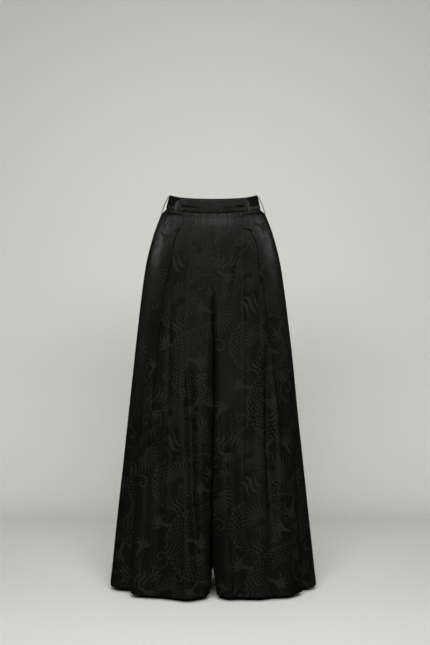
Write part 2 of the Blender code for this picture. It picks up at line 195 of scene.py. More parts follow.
SOFT_FOLDS = tables(
    ("station", "start", "full", "outer_width", "inner_width", "rise"),
    front_left=(
        (0.54, -0.38, -1, 0.028, 0.018, -0.03),
        (1.2, -0.45, -1, 0.03, 0.03, 0.012),
        (2.4, -0.35, -0.95, 0.018, 0.018, 0.008),
        (3, -0.045, -0.09, 0.0045, 0.0045, 0.0012),
        (3.55, -0.5, -1, 0.02, 0.02, -0.005),
    ),
    front_right=(
        (0.66, -0.34, -1, 0.034, 0.015, -0.046),
        (0.92, -0.5, -1, 0.012, 0.02, 0.006),
        (2.1, -0.45, -1, 0.022, 0.022, -0.004),
        (3, -0.045, -0.09, 0.0045, 0.0045, 0.0006),
        (3.4, -0.45, -1, 0.03, 0.026, 0.014),
    ),
    back_left=(
        (0.34, -0.4, -1, 0.022, 0.024, -0.024),
        (0.62, -0.35, -1, 0.026, 0.026, 0.012),
        (0.8, -0.5, -1, 0.02, 0.022, -0.016),
        (0.97, -0.42, -1, 0.022, 0.018, 0.01),
    ),
    back_right=(
        (0.38, -0.36, -1, 0.024, 0.022, -0.03),
        (0.66, -0.44, -1, 0.024, 0.024, 0.01),
        (0.86, -0.38, -1, 0.022, 0.02, -0.014),
        (1, -0.55, -1, 0.018, 0.018, 0.01),
    ),
)

TABS = tables(
    ("height", "slant", "outer_x", "inner_x"),
    left=(
        (0.0275, 0, 0.089, 0.085),
        (0.018, 0, 0.0915, 0.082),
        (0.009, 0, 0.0935, 0.08),
        (0, 0, 0.0955, 0.078),
        (-0.004, 0, 0.0965, 0.0775),
        (-0.014, 0, 0.0985, 0.0765),
        (-0.029, 0.002, 0.1015, 0.0755),
        (-0.043, 0.008, 0.103, 0.0755),
    ),
    right=(
        (0.028, 0, 0.09, 0.086),
        (0.019, 0, 0.096, 0.082),
        (0.01, 0, 0.0995, 0.079),
        (0, 0, 0.101, 0.0775),
        (-0.004, 0, 0.1015, 0.0775),
        (-0.014, 0, 0.102, 0.0775),
        (-0.029, 0.004, 0.102, 0.079),
        (-0.043, 0.012, 0.099, 0.085),
    ),
)

# Creases, given one by one: each runs from one place to another, across from the pressed crease (the centre
# back seam on a back panel, towards the outseam below zero) and by height. Rise is below zero for a trough.

CREASES = tables(
    ("from_across", "from_height", "to_across", "to_height", "width", "rise"),
    front_left=(
        (0.01, -0.11, 0.034, -0.25, 0.0085, -0.0022),
        (0.022, -0.09, 0.046, -0.235, 0.008, 0.0014),
        (0.058, -0.27, 0.024, -0.43, 0.01, -0.0026),
        (0.04, -0.33, 0.012, -0.56, 0.012, 0.0018),
        (-0.02, -0.33, -0.014, -0.62, 0.012, 0.0016),
        (-0.088, -0.44, -0.102, -0.76, 0.01, 0.0046),
        (-0.068, -0.36, -0.08, -0.86, 0.0115, -0.0165),
        (-0.03, -0.48, -0.036, -0.83, 0.011, -0.0036),
        (0.034, -0.52, 0.024, -0.9, 0.011, -0.0044),
        (0.006, -0.6, 0, -0.96, 0.01, 0.003),
        (-0.148, -0.42, -0.176, -0.84, 0.013, 0.0028),
        (-0.038, -0.2, -0.05, -0.47, 0.007, -0.005),
        (-0.098, -0.5, -0.106, -0.76, 0.009, 0.005),
        (0.026, -0.9, 0.022, -0.985, 0.0042, -0.0024),
        (0.033, -0.925, 0.03, -0.99, 0.004, 0.0018),
        (0.014, -0.975, 0.024, -0.999, 0.003, 0.0018),
        (0.002, -0.97, 0.012, -0.998, 0.0028, -0.0016),
        (-0.01, -0.976, 0.002, -0.999, 0.0032, 0.0016),
        (0.04, -0.972, 0.034, -0.998, 0.0034, -0.0016),
    ),
    front_right=(
        (0.036, -0.15, 0.046, -0.3, 0.012, -0.0014),
        (0.062, -0.265, 0.036, -0.4, 0.01, -0.0022),
        (-0.01, -0.3, -0.012, -0.64, 0.011, 0.0036),
        (0.012, -0.42, 0.024, -0.9, 0.0112, -0.0165),
        (0.028, -0.76, 0.036, -1.02, 0.012, -0.01),
        (0.038, -0.44, 0.044, -0.8, 0.01, 0.004),
        (0.058, -0.62, 0.06, -0.96, 0.01, -0.0026),
        (-0.03, -0.47, -0.036, -0.86, 0.012, -0.0024),
        (-0.05, -0.6, -0.058, -0.98, 0.013, 0.002),
        (-0.15, -0.38, -0.16, -0.7, 0.012, 0.0024),
        (-0.04, -0.22, -0.046, -0.56, 0.007, -0.006),
        (-0.024, -0.26, -0.03, -0.54, 0.008, 0.003),
        (-0.07, -0.62, -0.074, -0.96, 0.01, -0.005),
        (0.05, -0.905, 0.044, -0.99, 0.0045, -0.0022),
        (0.036, -0.93, 0.032, -0.995, 0.004, 0.0014),
    ),
    back_left=(
        (-0.02, -0.245, -0.085, -0.3, 0.0075, -0.0024),
        (-0.028, -0.275, -0.1, -0.35, 0.008, 0.0018),
        (-0.016, -0.3, -0.062, -0.395, 0.0085, -0.0022),
        (-0.1, -0.13, -0.15, -0.225, 0.011, -0.0014),
        (-0.05, -0.44, -0.06, -0.76, 0.013, 0.0026),
        (-0.09, -0.48, -0.104, -0.86, 0.012, -0.003),
        (-0.03, -0.56, -0.034, -0.93, 0.011, -0.0028),
        (-0.15, -0.4, -0.178, -0.82, 0.013, 0.0024),
        (-0.06, -0.93, -0.068, -0.996, 0.005, -0.002),
        (-0.11, -0.945, -0.104, -0.998, 0.0045, 0.0016),
    ),
    back_right=(
        (-0.018, -0.255, -0.07, -0.325, 0.008, -0.0026),
        (-0.024, -0.235, -0.096, -0.28, 0.007, 0.0014),
        (-0.014, -0.32, -0.054, -0.43, 0.009, -0.002),
        (-0.11, -0.15, -0.146, -0.26, 0.011, -0.0016),
        (-0.066, -0.42, -0.078, -0.7, 0.012, 0.0024),
        (-0.04, -0.52, -0.044, -0.88, 0.012, -0.0032),
        (-0.112, -0.5, -0.13, -0.9, 0.012, -0.0026),
        (-0.164, -0.38, -0.19, -0.76, 0.013, 0.0026),
        (-0.05, -0.94, -0.046, -0.998, 0.0048, -0.0018),
    ),
)

# Waves in the hanging cloth: how wide from crest to crest, how much they drift sideways down the leg, their
# phase, the heights where they start and are full, and their rise

WAVES = named(
    ("length", "drift", "phase", "start", "full", "rise"),
    (
        (0.083, 0.03, 0.4, -0.2, -0.7, 0.0011),
        (0.051, -0.042, 2.1, -0.26, -0.9, 0.0008),
        (0.131, 0.055, 4, -0.04, -0.45, 0.001),
    ),
)
GATHERS = named(("count", "width", "rise", "run"), ((70, 0.0017, 0.0018, 0.014), (22, 0.0042, 0.0024, 0.026)))

# The jacquard's repeat, with every second column dropped by half: the creatures' spines with their half
# widths, and the motifs round them, each with its middle, radius, turn and hand. Kinds are 1 a burst of
# rays, 2 a clawed foot, 3 a spiral whisker and 4 a flame.

SPINES = tables(
    ("x", "y", "half_width"),
    great=(
        (0.056, 0.166, 0.006),
        (0.044, 0.19, 0.014),
        (0.008, 0.206, 0.02),
        (-0.04, 0.2, 0.025),
        (-0.08, 0.166, 0.029),
        (-0.094, 0.116, 0.03),
        (-0.074, 0.072, 0.026),
        (-0.03, 0.048, 0.019),
        (0.016, 0.032, 0.018),
        (0.06, 0.004, 0.024),
        (0.078, -0.044, 0.027),
        (0.058, -0.092, 0.026),
        (0.014, -0.118, 0.021),
        (-0.03, -0.13, 0.016),
        (-0.062, -0.15, 0.016),
        (-0.078, -0.182, 0.02),
        (-0.07, -0.216, 0.018),
        (-0.044, -0.236, 0.01),
        (-0.03, -0.25, 0.003),
    ),
    small=(
        (0.108, 0.168, 0.003),
        (0.124, 0.142, 0.013),
        (0.13, 0.104, 0.018),
        (0.12, 0.068, 0.014),
        (0.104, 0.048, 0.004),
    ),
)
MOTIFS = named(
    ("x", "y", "radius", "turn", "hand", "kind"),
    (
        (0.07, 0.118, 0.05, 130, 1, 1),
        (-0.11, -0.046, 0.05, -60, -1, 1),
        (0.098, -0.17, 0.044, 160, 1, 1),
        (-0.022, 0.14, 0.034, -70, 1, 2),
        (-0.128, 0.176, 0.03, 120, -1, 2),
        (0.012, 0.098, 0.03, 20, -1, 2),
        (0.122, 0.006, 0.032, 10, 1, 2),
        (0.022, -0.04, 0.032, 200, -1, 2),
        (-0.018, -0.15, 0.03, 60, 1, 2),
        (0.04, -0.16, 0.028, -50, -1, 2),
        (-0.112, 0.034, 0.032, 30, 1, 3),
        (-0.142, 0.056, 0.03, 215, 1, 2),
        (0.024, 0.156, 0.022, 250, -1, 3),
        (-0.046, -0.006, 0.036, 150, -1, 3),
        (0.122, -0.082, 0.032, 80, 1, 3),
        (0.03, -0.208, 0.044, 250, 1, 1),
        (-0.122, -0.124, 0.03, 200, -1, 3),
        (0.094, 0.214, 0.034, 40, 1, 4),
        (-0.03, 0.024, 0.024, 100, 1, 4),
        (0.014, -0.078, 0.02, -20, -1, 4),
        (-0.066, -0.098, 0.026, 240, 1, 4),
        (0.136, -0.13, 0.024, 140, -1, 4),
        (-0.128, 0.092, 0.026, -80, 1, 4),
        (0.078, 0.052, 0.024, 60, -1, 4),
        (-0.036, 0.098, 0.02, -150, 1, 4),
        (-0.086, 0.222, 0.026, 20, 1, 4),
        (0.01, -0.196, 0.022, 110, -1, 4),
        (0.068, -0.128, 0.02, -110, 1, 3),
        (-0.14, 0.012, 0.02, 260, 1, 4),
    ),
)
LINE_STEP = 0.0014
RAYS = 26
TOE_ANGLE = 0.62
GROUND_LEVEL = 0.24
MOTIF_EDGE = 1.2
REPEAT_MARGIN = 0.05
REPEAT_SHIFT = 0.12
FIN_REACH = 0.006
NEIGHBOURS = [(dx, dy) for dx in (-1, 0, 1) for dy in (-2, -1, 0, 1)]

# Where each piece lies on the jacquard

PATTERN_SHIFT = {
    "front_left": (-0.186, 0.116),
    "front_right": (0.058, 0.24),
    "back_left": (0.09, 0.02),
    "back_right": (-0.02, 0.33),
    "front_band": (0.0775, -0.14),
    "hip_strip": (0.05, 0.3),
    "front_tabs": (0.085, -0.0725),
    "side_loops": (0.06, 0.07),
}

# Finer forms of the leg panels: the gathers' seeds, where the waves start, how the creases fade by the
# normal's y towards the legs' corner, how wide and deep the edges roll in, the step over the turned-up hem,
# the pressed crease

GATHER_SEED = {"front_left": 17, "front_right": 18, "back_left": 15, "back_right": 16}
WAVE_SHIFT = {"left": 0.02, "right": 0.0}
CORNER_FADE = {"front": (0.1, 0.45), "back": (0.05, 0.3)}
SIDE_ROLL = (0.003, 0.0007)
WAIST_ROLL = (0.004, 0.002)
HEM_ROLL = (0.0016, 0.0005)
HEM_STEP = 0.00035
HEM_STEP_HEIGHTS = (-0.966, -0.9675)
PRESSED_WIDTH = 0.0016
PRESSED_RISE = 0.0005
PRESSED_HEIGHTS = (-0.045, -0.09)

# Between the legs the panels sway alike near the middle: how near, from which height, and each sway's rise
# and length

MIDDLE_WIDTH = 0.01
MIDDLE_HEIGHTS = (-0.955, -0.925)
HIGH_SWAY = (0.0006, 0.26)
LOW_SWAY = (0.0022, 0.095)
LOW_SWAY_HEIGHTS = (-0.27, -0.32)
LOW_SWAY_DRIFT = 6

# Relief of the bands, the tabs and the loops: middles and half widths of the front band's dents, then
# depths and rises, lengths of waves, and how wide and deep the lower and upper edges roll in

DENTS = ((-0.07, 0.02), (0.07, 0.022))
DENT_DEPTH = 0.0026
DENT_HEIGHT = 0.0115
DENT_RUN = 0.0026
SLACK_RISE = 0.0004
SLACK_LENGTH = 0.041
SLACK_PHASE = 0.8
PUCKER_RISE = 0.00005
PUCKER_LENGTH = 0.0137
PUCKER_SLANT = 0.6
BAND_ROLLS = ((0.0042, 0.002), (0.003, 0.0016))
RIB_RISE = 0.00035
RIB_BASE = -0.0004
BOUND_EDGE = (BAND_HEIGHT - 0.001, BAND_HEIGHT - 0.004)
STRETCH_RISE = 0.0006
STRETCH_LENGTH = 0.047
STRIP_ROLLS = ((0.0025, 0.001), (0.0018, 0.0006))
STRIP_BASE = 0.0002
STRIP_GATHER_RISE = 0.00035
STRIP_GATHER_LENGTH = 0.0083
TAB_CROWN = 0.0009
TAB_CROWN_FULL = 0.012
PINCH_DEPTH = 0.0005
PINCH_PLACE = 0.62
PINCH_WIDTH = 0.12
PINCH_HEIGHTS = (0.02, -0.01)
LOOP_CROWN = 0.0005

# Thickness of the pieces sewn double; a leg is one layer of cloth, so its reverse shows inside

THICKNESS = {"front_band": 0.0016, "hip_strip": 0.0014, "front_tabs": 0.001, "side_loops": 0.0013}

# Bar tacks at the pleats' ends: how far across and how high

TACKS = {"left": (0.1655, -0.567), "right": (-0.1735, -0.629)}
TACK_REACH = 0.004
TACK_LENGTH = 0.008
TACK_RADIUS = 0.0009
TACK_RINGS = 41
TACK_SIDES = 10
TACK_STITCHES = 12

# The studio: the paper's floor, wall, bend and top, the lights, and the camera with its focal length in
# parts of the picture's height. Each light has its place, what it is aimed at, its size, its share of the
# key light's power, its cone, and whether it shows as glare on the satin. The fill and the floor light show
# none, as cross-polarised light does.

FLOOR = -1.012
PAPER_BACK = 1.55
PAPER_BEND = 0.5
PAPER_TOP = 3.6
LIGHTS = (
    ("fill", (0, -3.2, 0.9), (0, 1, -0.6), (2.6, 0.8), 0.96, 120, False),
    ("front", (0, -3.2, 0.9), (0, 1, -0.6), (2.6, 0.8), 0.16, 120, True),
    ("above", (0, -2.4, 2.15), (0, 0.1, -0.4), (2.2, 1), 0.235, 180, True),
    ("floor", (0, -1.2, 2.6), (0, -0.25, -1), (1.6, 0.8), 0.05, 50, False),
    ("left", (-1.75, -0.7, 1.25), (0, 0, -0.1), (2.3, 1.1), 0.018, 70, True),
    ("right", (1.75, -0.7, 1.25), (0, 0, -0.1), (2.3, 1.1), 0.017, 70, True),
    ("left_rim", (-2.25, 0.45, 0.75), (0, 0, -0.1), (1.5, 1), 0.014, 70, True),
    ("right_rim", (2.25, 0.45, 0.75), (0, 0, -0.1), (1.5, 1), 0.014, 70, True),
    ("wall", (0, -0.4, 2), (0, 1.55, -0.45), (1.6, 0.3), 0.018, 70, True),
    ("wall_low", (0, -0.6, 1.7), (0, 1.55, -0.75), (1.6, 0.3), 0.024, 60, True),
)
FOCAL_LENGTH = 1391 / 645
CAMERA_PLACE = (0.0045, -3.7, -0.163)
CAMERA_TILT = 2.16

ROOT = "root"


class TrouserSizes(bpy.types.PropertyGroup):
    """Sizes of the cloth and its pattern."""

    cloth: FloatProperty(
        name="Cloth",
        description="Thickness of the satin",
        default=0.0005,
        min=0.0002,
        max=0.001,
        unit="LENGTH",
    )
    elastic: FloatProperty(
        name="Elastic", description="Thickness of the elastic band", default=0.0016, max=0.0018, unit="LENGTH"
    )
    repeat_width: FloatProperty(
        name="Repeat width", description="Width of one repeat of the pattern", default=0.300, unit="LENGTH"
    )
    repeat_height: FloatProperty(
        name="Repeat height", description="Height of one repeat of the pattern", default=0.460, unit="LENGTH"
    )
    scale_pitch: FloatProperty(
        name="Scale pitch", description="From one woven scale to the next", default=0.0086, unit="LENGTH"
    )
    rib: FloatProperty(
        name="Rib", description="From one rib of the elastic to the next", default=0.003, unit="LENGTH"
    )
    key_power: FloatProperty(
        name="Key light", description="Power that each light has a share of", default=70.0, unit="POWER"
    )


class TrouserColours(bpy.types.PropertyGroup):
    """Colours of the cloth and the studio, in linear light."""

    ground: FloatVectorProperty(
        name="Ground",
        description="The satin between the motifs",
        subtype="COLOR",
        size=4,
        default=linear("#070706"),
    )
    motif: FloatVectorProperty(
        name="Motif", description="The woven motifs", subtype="COLOR", size=4, default=linear("#11110f")
    )
    reverse: FloatVectorProperty(
        name="Reverse",
        description="The inside of the satin",
        subtype="COLOR",
        size=4,
        default=linear("#121211"),
    )
    elastic: FloatVectorProperty(
        name="Elastic", description="The ribbed band", subtype="COLOR", size=4, default=linear("#070806")
    )
    thread: FloatVectorProperty(
        name="Thread", description="Sewing thread", subtype="COLOR", size=4, default=linear("#191918")
    )
    backdrop: FloatVectorProperty(
        name="Backdrop", description="Studio paper", subtype="COLOR", size=4, default=linear("#c9c9c4")
    )


def at(table, name, height):
    """A table's column at a height: a smooth curve through its rows that never swings past them.

    Between two rows it is the cubic that has their values, and at each row the harmonic mean of the slopes
    on its two sides, or none where those differ in sign.
    """
    heights = table["height"][::-1]
    values = table[name][::-1]
    step = np.diff(heights)
    secant = np.diff(values) / step
    product = secant[:-1] * secant[1:]
    total = secant[:-1] + secant[1:]
    inner = np.where(product > 0, 2 * product / np.where(total == 0, 1, total), 0.0)
    slope = np.concatenate([secant[:1], inner, secant[-1:]])
    height = np.clip(height, heights[0], heights[-1])
    i = np.clip(np.searchsorted(heights, height) - 1, 0, len(step) - 1)
    t = (height - heights[i]) / step[i]
    return (
        (2 * t**3 - 3 * t**2 + 1) * values[i]
        + (t**3 - 2 * t**2 + t) * step[i] * slope[i]
        + (3 * t**2 - 2 * t**3) * values[i + 1]
        + (t**3 - t**2) * step[i] * slope[i + 1]
    )


def ease(value, start, full):
    """0 before start, 1 after full, and 3t^2 - 2t^3 between."""
    t = np.clip((value - start) / (full - start), 0, 1)
    return t * t * (3 - 2 * t)


def leg_gap(height):
    """Half the gap between the legs: a seam above the crotch, a hair below it, and a split at the hem."""
    if height > CROTCH_HEIGHT:
        return SEAM_GAP / 2
    opening = max((HEM_SPLIT_START - height) / (HEM_SPLIT_START - HEM_HEIGHT), 0)
    return LEG_GAP + HEM_SPLIT_GAP * opening**HEM_SPLIT_POWER


def valley(height, face):
    """How far a panel runs back between the legs: the crotch curve's quarter ellipse, then to the inseam."""
    depth = at(OUTLINE, face + "_depth", height)
    full = depth + INSEAM_Y if face == "front" else depth - INSEAM_Y
    start = RISE_START[face]
    share = np.clip((start - height) / (start - CROTCH_HEIGHT), 0, 1)
    return full * (1 - np.sqrt(1 - share**2))


def lengths(points):
    """How long a line is so far, at each of its points."""
    return np.concatenate([[0], np.cumsum(np.hypot(*np.diff(points, axis=0).T))])


def unit_tangents(points, length):
    """A line's direction at each of its points."""
    tangent = np.gradient(points, length, axis=0)
    return tangent / np.hypot(*tangent.T)[:, None]


def outline(height, face):
    """One panel's outer line at a height, from outseam to inner seam, as points, arc lengths and normals.

    It is a quarter superellipse, x = a cos(t)^(2/p), y = -b sin(t)^(2/p), a round corner into the gap
    between the legs, and a straight wall back. The line is worked out as a front one, and turned over for
    the back.
    """
    half_width = at(OUTLINE, "half_width", height)
    depth = at(OUTLINE, face + "_depth", height)
    radius = at(OUTLINE, face + "_corner", height)
    gap = leg_gap(height)
    back = valley(height, face)
    swing = np.arccos(1 - min(back / radius, 1))
    corner_x = gap + radius * np.sin(swing)
    power = ROUNDNESS[face]
    turn = np.linspace(0, pi / 2, DENSE)
    side_x = half_width * np.cos(turn) ** (2 / power)
    side_y = -depth * np.sin(turn) ** (2 / power)
    corner_y = np.interp(corner_x, side_x[::-1], side_y[::-1])
    kept = side_x > corner_x
    arc = np.linspace(0, swing, CORNER_DENSE)
    arc_x = corner_x - radius * np.sin(arc)
    arc_y = corner_y + radius * (1 - np.cos(arc))
    wall_y = np.linspace(arc_y[-1], max(back - depth, arc_y[-1]), CORNER_DENSE)[1:]
    x = np.concatenate([side_x[kept], arc_x, np.full(wall_y.shape, gap)])
    y = np.concatenate([side_y[kept], arc_y, wall_y])
    points = np.stack([x, y], axis=1)
    length = lengths(points)
    fresh = np.concatenate([[True], np.diff(length) > 1e-9])
    points, length = points[fresh], length[fresh]
    tangent = unit_tangents(points, length)
    normal = np.stack([-tangent[:, 1], tangent[:, 0]], axis=1)
    return points, length, normal, corner_x, length[-1] - (wall_y[-1] - arc_y[-1])


def flare(height):
    """How much further apart two layers stand level than square to the cloth, where it leans outwards."""
    above = at(OUTLINE, "half_width", height + SLOPE_STEP)
    below = at(OUTLINE, "half_width", height - SLOPE_STEP)
    return np.hypot(1, (below - above) / (2 * SLOPE_STEP))


def fold_profile(degrees, looser):
    """A pressed fold's outer face past its edge: how far along, and how far down, at each of its columns.

    It heads along the cloth, turns down by the angle, runs straight, and turns back. Both arcs keep their
    length, so their radius grows as the fold opens.
    """
    angle = np.radians(max(degrees, 1.0))
    edge_radius = EDGE_RADIUS * looser * pi / angle
    under_radius = UNDER_RADIUS * looser * pi / angle
    over = np.linspace(0, angle, EDGE_STEPS + 1)
    along = edge_radius * np.sin(over)
    down = edge_radius * (1 - np.cos(over))
    back = angle - np.linspace(0, angle, UNDER_STEPS + 1)
    under_along = along[-1] + FOLD_RUN * np.cos(angle) + under_radius * (np.sin(angle) - np.sin(back))
    under_down = down[-1] + FOLD_RUN * np.sin(angle) + under_radius * (np.cos(back) - np.cos(angle))
    edge = edge_radius * np.sin(min(angle, pi / 2))
    return np.concatenate([along, under_along]) - edge, np.concatenate([down, under_down])


def spread(start, end, count):
    """Evenly spaced places after start and before end."""
    return np.linspace(start, end, count + 2)[1:-1]


def inner_columns(corner, corner_end, end):
    """The last columns' places: round the corner between the legs, and down the wall behind it."""
    turn = min(corner_end, end - LEAST_WALL)
    return stretches((corner, turn, end), (CORNER_COLUMNS, WALL_COLUMNS))


def front_columns(height, side, length, points, corner_x, corner_end):
    """Where each column of a front panel lies along its outline, how far down, and the stations' places."""
    pleat = PLEAT[side]
    across = [at(pleat, name, height) for name in ("outer_x", "inner_x", "crease_x")]
    across.append(max(corner_x, LEAST_CORNER_X))
    reach = points[:, 0] >= corner_x
    outer, inner, crease, corner = np.interp(-np.array(across), -points[reach, 0], length[reach])
    start = SEAM_GAP / 2
    end = length[-1] - (SEAM_GAP / 2 if height <= CROTCH_HEIGHT else 0)
    along, down = fold_profile(at(pleat, "fold_degrees", height), FOLD_EASE * flare(height))
    outer_edge = outer + along
    inner_edge = inner - along[::-1]
    runs = (
        (np.array([start]), 0.0),
        (spread(start, outer_edge[0], SIDE_COLUMNS), 0.0),
        (outer_edge, down),
        (spread(outer_edge[-1], inner_edge[0], UNDERLAY_COLUMNS), down[-1]),
        (inner_edge, down[::-1]),
        (spread(inner_edge[-1], crease + CREASE_OFFSETS[0], INNER_COLUMNS), 0.0),
        (crease + CREASE_OFFSETS, 0.0),
        (spread(crease + CREASE_OFFSETS[-1], corner, CENTRE_COLUMNS), 0.0),
        (inner_columns(corner, corner_end, end), 0.0),
    )
    places = np.concatenate([run for run, _ in runs])
    depths = np.concatenate([np.broadcast_to(deep, run.shape) for run, deep in runs])
    return places, depths, np.array([start, outer, inner, crease, corner, end])


def back_columns(height, length, points, corner_x, corner_end):
    """Where a back panel's columns lie along its outline; its stations are the outseam and the corner."""
    start = SEAM_GAP / 2
    end = length[-1] - (SEAM_GAP / 2 if height <= CROTCH_HEIGHT else 0)
    corner = np.interp(-max(corner_x, LEAST_CORNER_X), -points[:, 0], length)
    side = np.linspace(start, corner, BACK_COLUMNS + 1)[:-1]
    places = np.concatenate([side, inner_columns(corner, corner_end, end)])
    return places, np.zeros(places.shape), np.array([start, corner])


def soft_rise(folds, height, places, stations):
    """The soft folds' height over the outline: a sum of exp(-(d / width)^2), each growing down the leg."""
    rise = np.zeros(places.shape)
    numbers = np.arange(len(stations))
    for station, start, full, outer_width, inner_width, size in zip(*folds.values()):
        offset = places - np.interp(station, numbers, stations)
        width = np.where(offset < 0, outer_width, inner_width)
        rise += size * ease(height, start, full) * np.exp(-((offset / width) ** 2))
    return rise


def crease_rise(creases, across, height):
    """Troughs and ridges along short lines: rise times exp(-(d / width)^2), d the distance from the line.

    Along the line each fades in and out as the square root of sin(pi t), and past its ends as the bell of d.
    """
    rise = np.zeros(across.shape)
    for from_across, from_height, to_across, to_height, width, size in zip(*creases.values()):
        run = to_across - from_across, to_height - from_height
        off = across - from_across, height - from_height
        t = np.clip((off[0] * run[0] + off[1] * run[1]) / (run[0] ** 2 + run[1] ** 2), 0, 1)
        far = np.hypot(off[0] - t * run[0], off[1] - t * run[1])
        rise += size * np.sqrt(np.sin(pi * t)) * np.exp(-((far / width) ** 2))
    return rise


def wave_rise(across, height):
    """Slow waves in the hanging cloth: a sum of sines across it that drift sideways and grow down the leg."""
    rise = np.zeros(across.shape)
    for length, drift, phase, start, full, size in zip(*WAVES.values()):
        turn = 2 * pi * (across + drift * height) / length + phase
        rise += size * ease(height, start, full) * np.sin(turn)
    return rise


def gather_rise(across, height, seed):
    """Small uneven gathers under the waist seam, each a bell across that fades over its length."""
    number = np.random.default_rng(seed)
    rise = np.zeros(across.shape)
    for count, width, size, run in zip(*GATHERS.values()):
        middles = np.linspace(across.min(), across.max(), int(count))
        for middle in middles + number.uniform(-0.3, 0.3, len(middles)) * (middles[1] - middles[0]):
            bell = np.exp(-(((across - middle) / (width * number.uniform(0.6, 1.3))) ** 2))
            bell *= size * number.uniform(-1.0, 1.0)
            rise += bell * np.exp(height / (run * number.uniform(0.4, 1.6)))
    return rise


def edge_roll(distance, width, depth):
    """How far an edge rolls in towards its seam: its depth, fading as a quarter circle over the width."""
    near = np.clip(1 - distance / width, 0, 1)
    return -depth * (1 - np.sqrt(1 - near**2))


def leg_panel(face, side):
    """A leg panel's outer face, and where each of its points lies on the flat cloth.

    Each row lies on the outline at its height, moved out along the outline's normal by the soft folds, the
    creases, the waves and the gathers, and down by the pressed fold. Between the legs both panels sway
    alike, by a sine of the depth, so that no light comes through. Flat cloth is the length along the row by
    the height.
    """
    panel = face + "_" + side
    heights = ROWS[face]
    table = []
    for height in heights:
        points, length, normal, corner_x, corner_end = outline(height, face)
        if face == "front":
            places, down, stations = front_columns(height, side, length, points, corner_x, corner_end)
            zero = stations[3]
        else:
            places, down, stations = back_columns(height, length, points, corner_x, corner_end)
            zero = stations[1]
        rise = soft_rise(SOFT_FOLDS[panel], height, places, stations)
        on_line = [np.interp(places, length, line) for line in (*points.T, *normal.T)]
        table.append((*on_line, places - zero, down, rise, np.full(places.shape, leg_gap(height)), places))
    line_x, line_y, normal_x, normal_y, across, down, rise, inner, places = np.array(table).transpose(1, 0, 2)
    height = np.broadcast_to(heights[:, None], across.shape)
    open_cloth = np.exp(-down / WALL)
    rise += crease_rise(CREASES[panel], across, height) * ease(np.abs(normal_y), *CORNER_FADE[face])
    rise += wave_rise(across + WAVE_SHIFT[side], height) * open_cloth
    rise += gather_rise(across, height, GATHER_SEED[panel]) * open_cloth * ease(height, 0, -0.003)
    rise += edge_roll(places, *SIDE_ROLL) * open_cloth
    rise += edge_roll(-height, *WAIST_ROLL)
    rise += edge_roll(height - HEM_HEIGHT, *HEM_ROLL)
    rise += HEM_STEP * ease(height, *HEM_STEP_HEIGHTS)
    if face == "front":
        rise += PRESSED_RISE * np.exp(-((across / PRESSED_WIDTH) ** 2)) * ease(height, *PRESSED_HEIGHTS)
    x = np.maximum(line_x + (rise - down) * normal_x, inner)
    y = line_y + (rise - down) * normal_y
    depth = at(OUTLINE, face + "_depth", heights)[:, None]
    dip = WAIST_DIP[face] * ease(height, DIP_END, 0) * np.clip(y / depth, -1, 1) ** 2
    deepest = down.max(axis=1, keepdims=True)
    short = FOLD_SHORT * down / (deepest + WALL) * ease(height, -0.014, 0)
    zero = np.abs(across).argmin(axis=1)
    run = np.hypot(np.diff(line_x - down * normal_x, axis=1), np.diff(line_y - down * normal_y, axis=1))
    flat = np.concatenate([np.zeros((len(heights), 1)), np.cumsum(run, axis=1)], axis=1)
    flat -= np.take_along_axis(flat, zero[:, None], axis=1)
    if face == "back":
        y = -y
        flat = -flat
    if side == "right":
        x = -x
        flat = -flat
    near = np.exp(-((x / MIDDLE_WIDTH) ** 2)) * ease(height, *MIDDLE_HEIGHTS)
    x = x + HIGH_SWAY[0] * near * np.sin(pi * y / HIGH_SWAY[1])
    swing = np.sin(2 * pi * y / LOW_SWAY[1] + LOW_SWAY_DRIFT * height)
    x = x + LOW_SWAY[0] * near * ease(height, *LOW_SWAY_HEIGHTS) * swing
    return np.stack([x, y, height - dip - short], axis=-1), np.stack([flat, height - 0.3 * dip], axis=-1)


def smooth_line(table, step):
    """Points about a step apart on the curve through a table's rows, with its unit tangents and half widths.

    Each stretch is a Catmull-Rom cubic.
    """
    rows = np.stack([table["x"], table["y"], table["half_width"]], axis=1)
    ends = np.concatenate([2 * rows[:1] - rows[1:2], rows, 2 * rows[-1:] - rows[-2:-1]])
    a, b, c, d = ends[:-3, None], ends[1:-2, None], ends[2:-1, None], ends[3:, None]
    t = np.linspace(0, 1, 40)[None, :, None]
    curve = 0.5 * (2 * b + (c - a) * t + (2 * a - 5 * b + 4 * c - d) * t**2 + (3 * b - a - 3 * c + d) * t**3)
    return resampled(curve.reshape(-1, 3), step)


def resampled(line, step):
    """A line's points at even steps: x, y, half width, tangent x, tangent y and length so far."""
    length = lengths(line[:, :2])
    fresh = np.concatenate([[True], np.diff(length) > 1e-9])
    even = np.linspace(0, length[-1], max(int(length[-1] / step), 4))
    columns = np.stack([np.interp(even, length[fresh], column[fresh]) for column in line.T], axis=1)
    return np.concatenate([columns, unit_tangents(columns[:, :2], even), even[:, None]], axis=1)


def tiled(lines, width, height):
    """Lines with the copies of them that neighbouring repeats bring in."""
    shifts = [(dx * width, dy * height + (dx % 2) * height / 2) for dx, dy in NEIGHBOURS]
    points = np.concatenate([line + np.array([dx, dy, 0, 0, 0, 0]) for line in lines for dx, dy in shifts])
    reach = np.array([width, height]) / 2 + REPEAT_MARGIN
    return points[(np.abs(points[:, :2]) < reach).all(axis=1)]


def in_repeat(flat, width, height):
    """A place on the cloth as a place in the pattern's repeat, whose odd columns are dropped by half."""
    column = np.floor(flat[:, 0] / width + 0.5)
    x = flat[:, 0] - column * width
    y = flat[:, 1] + REPEAT_SHIFT - (column % 2) * height / 2
    return x, y - np.floor(y / height + 0.5) * height


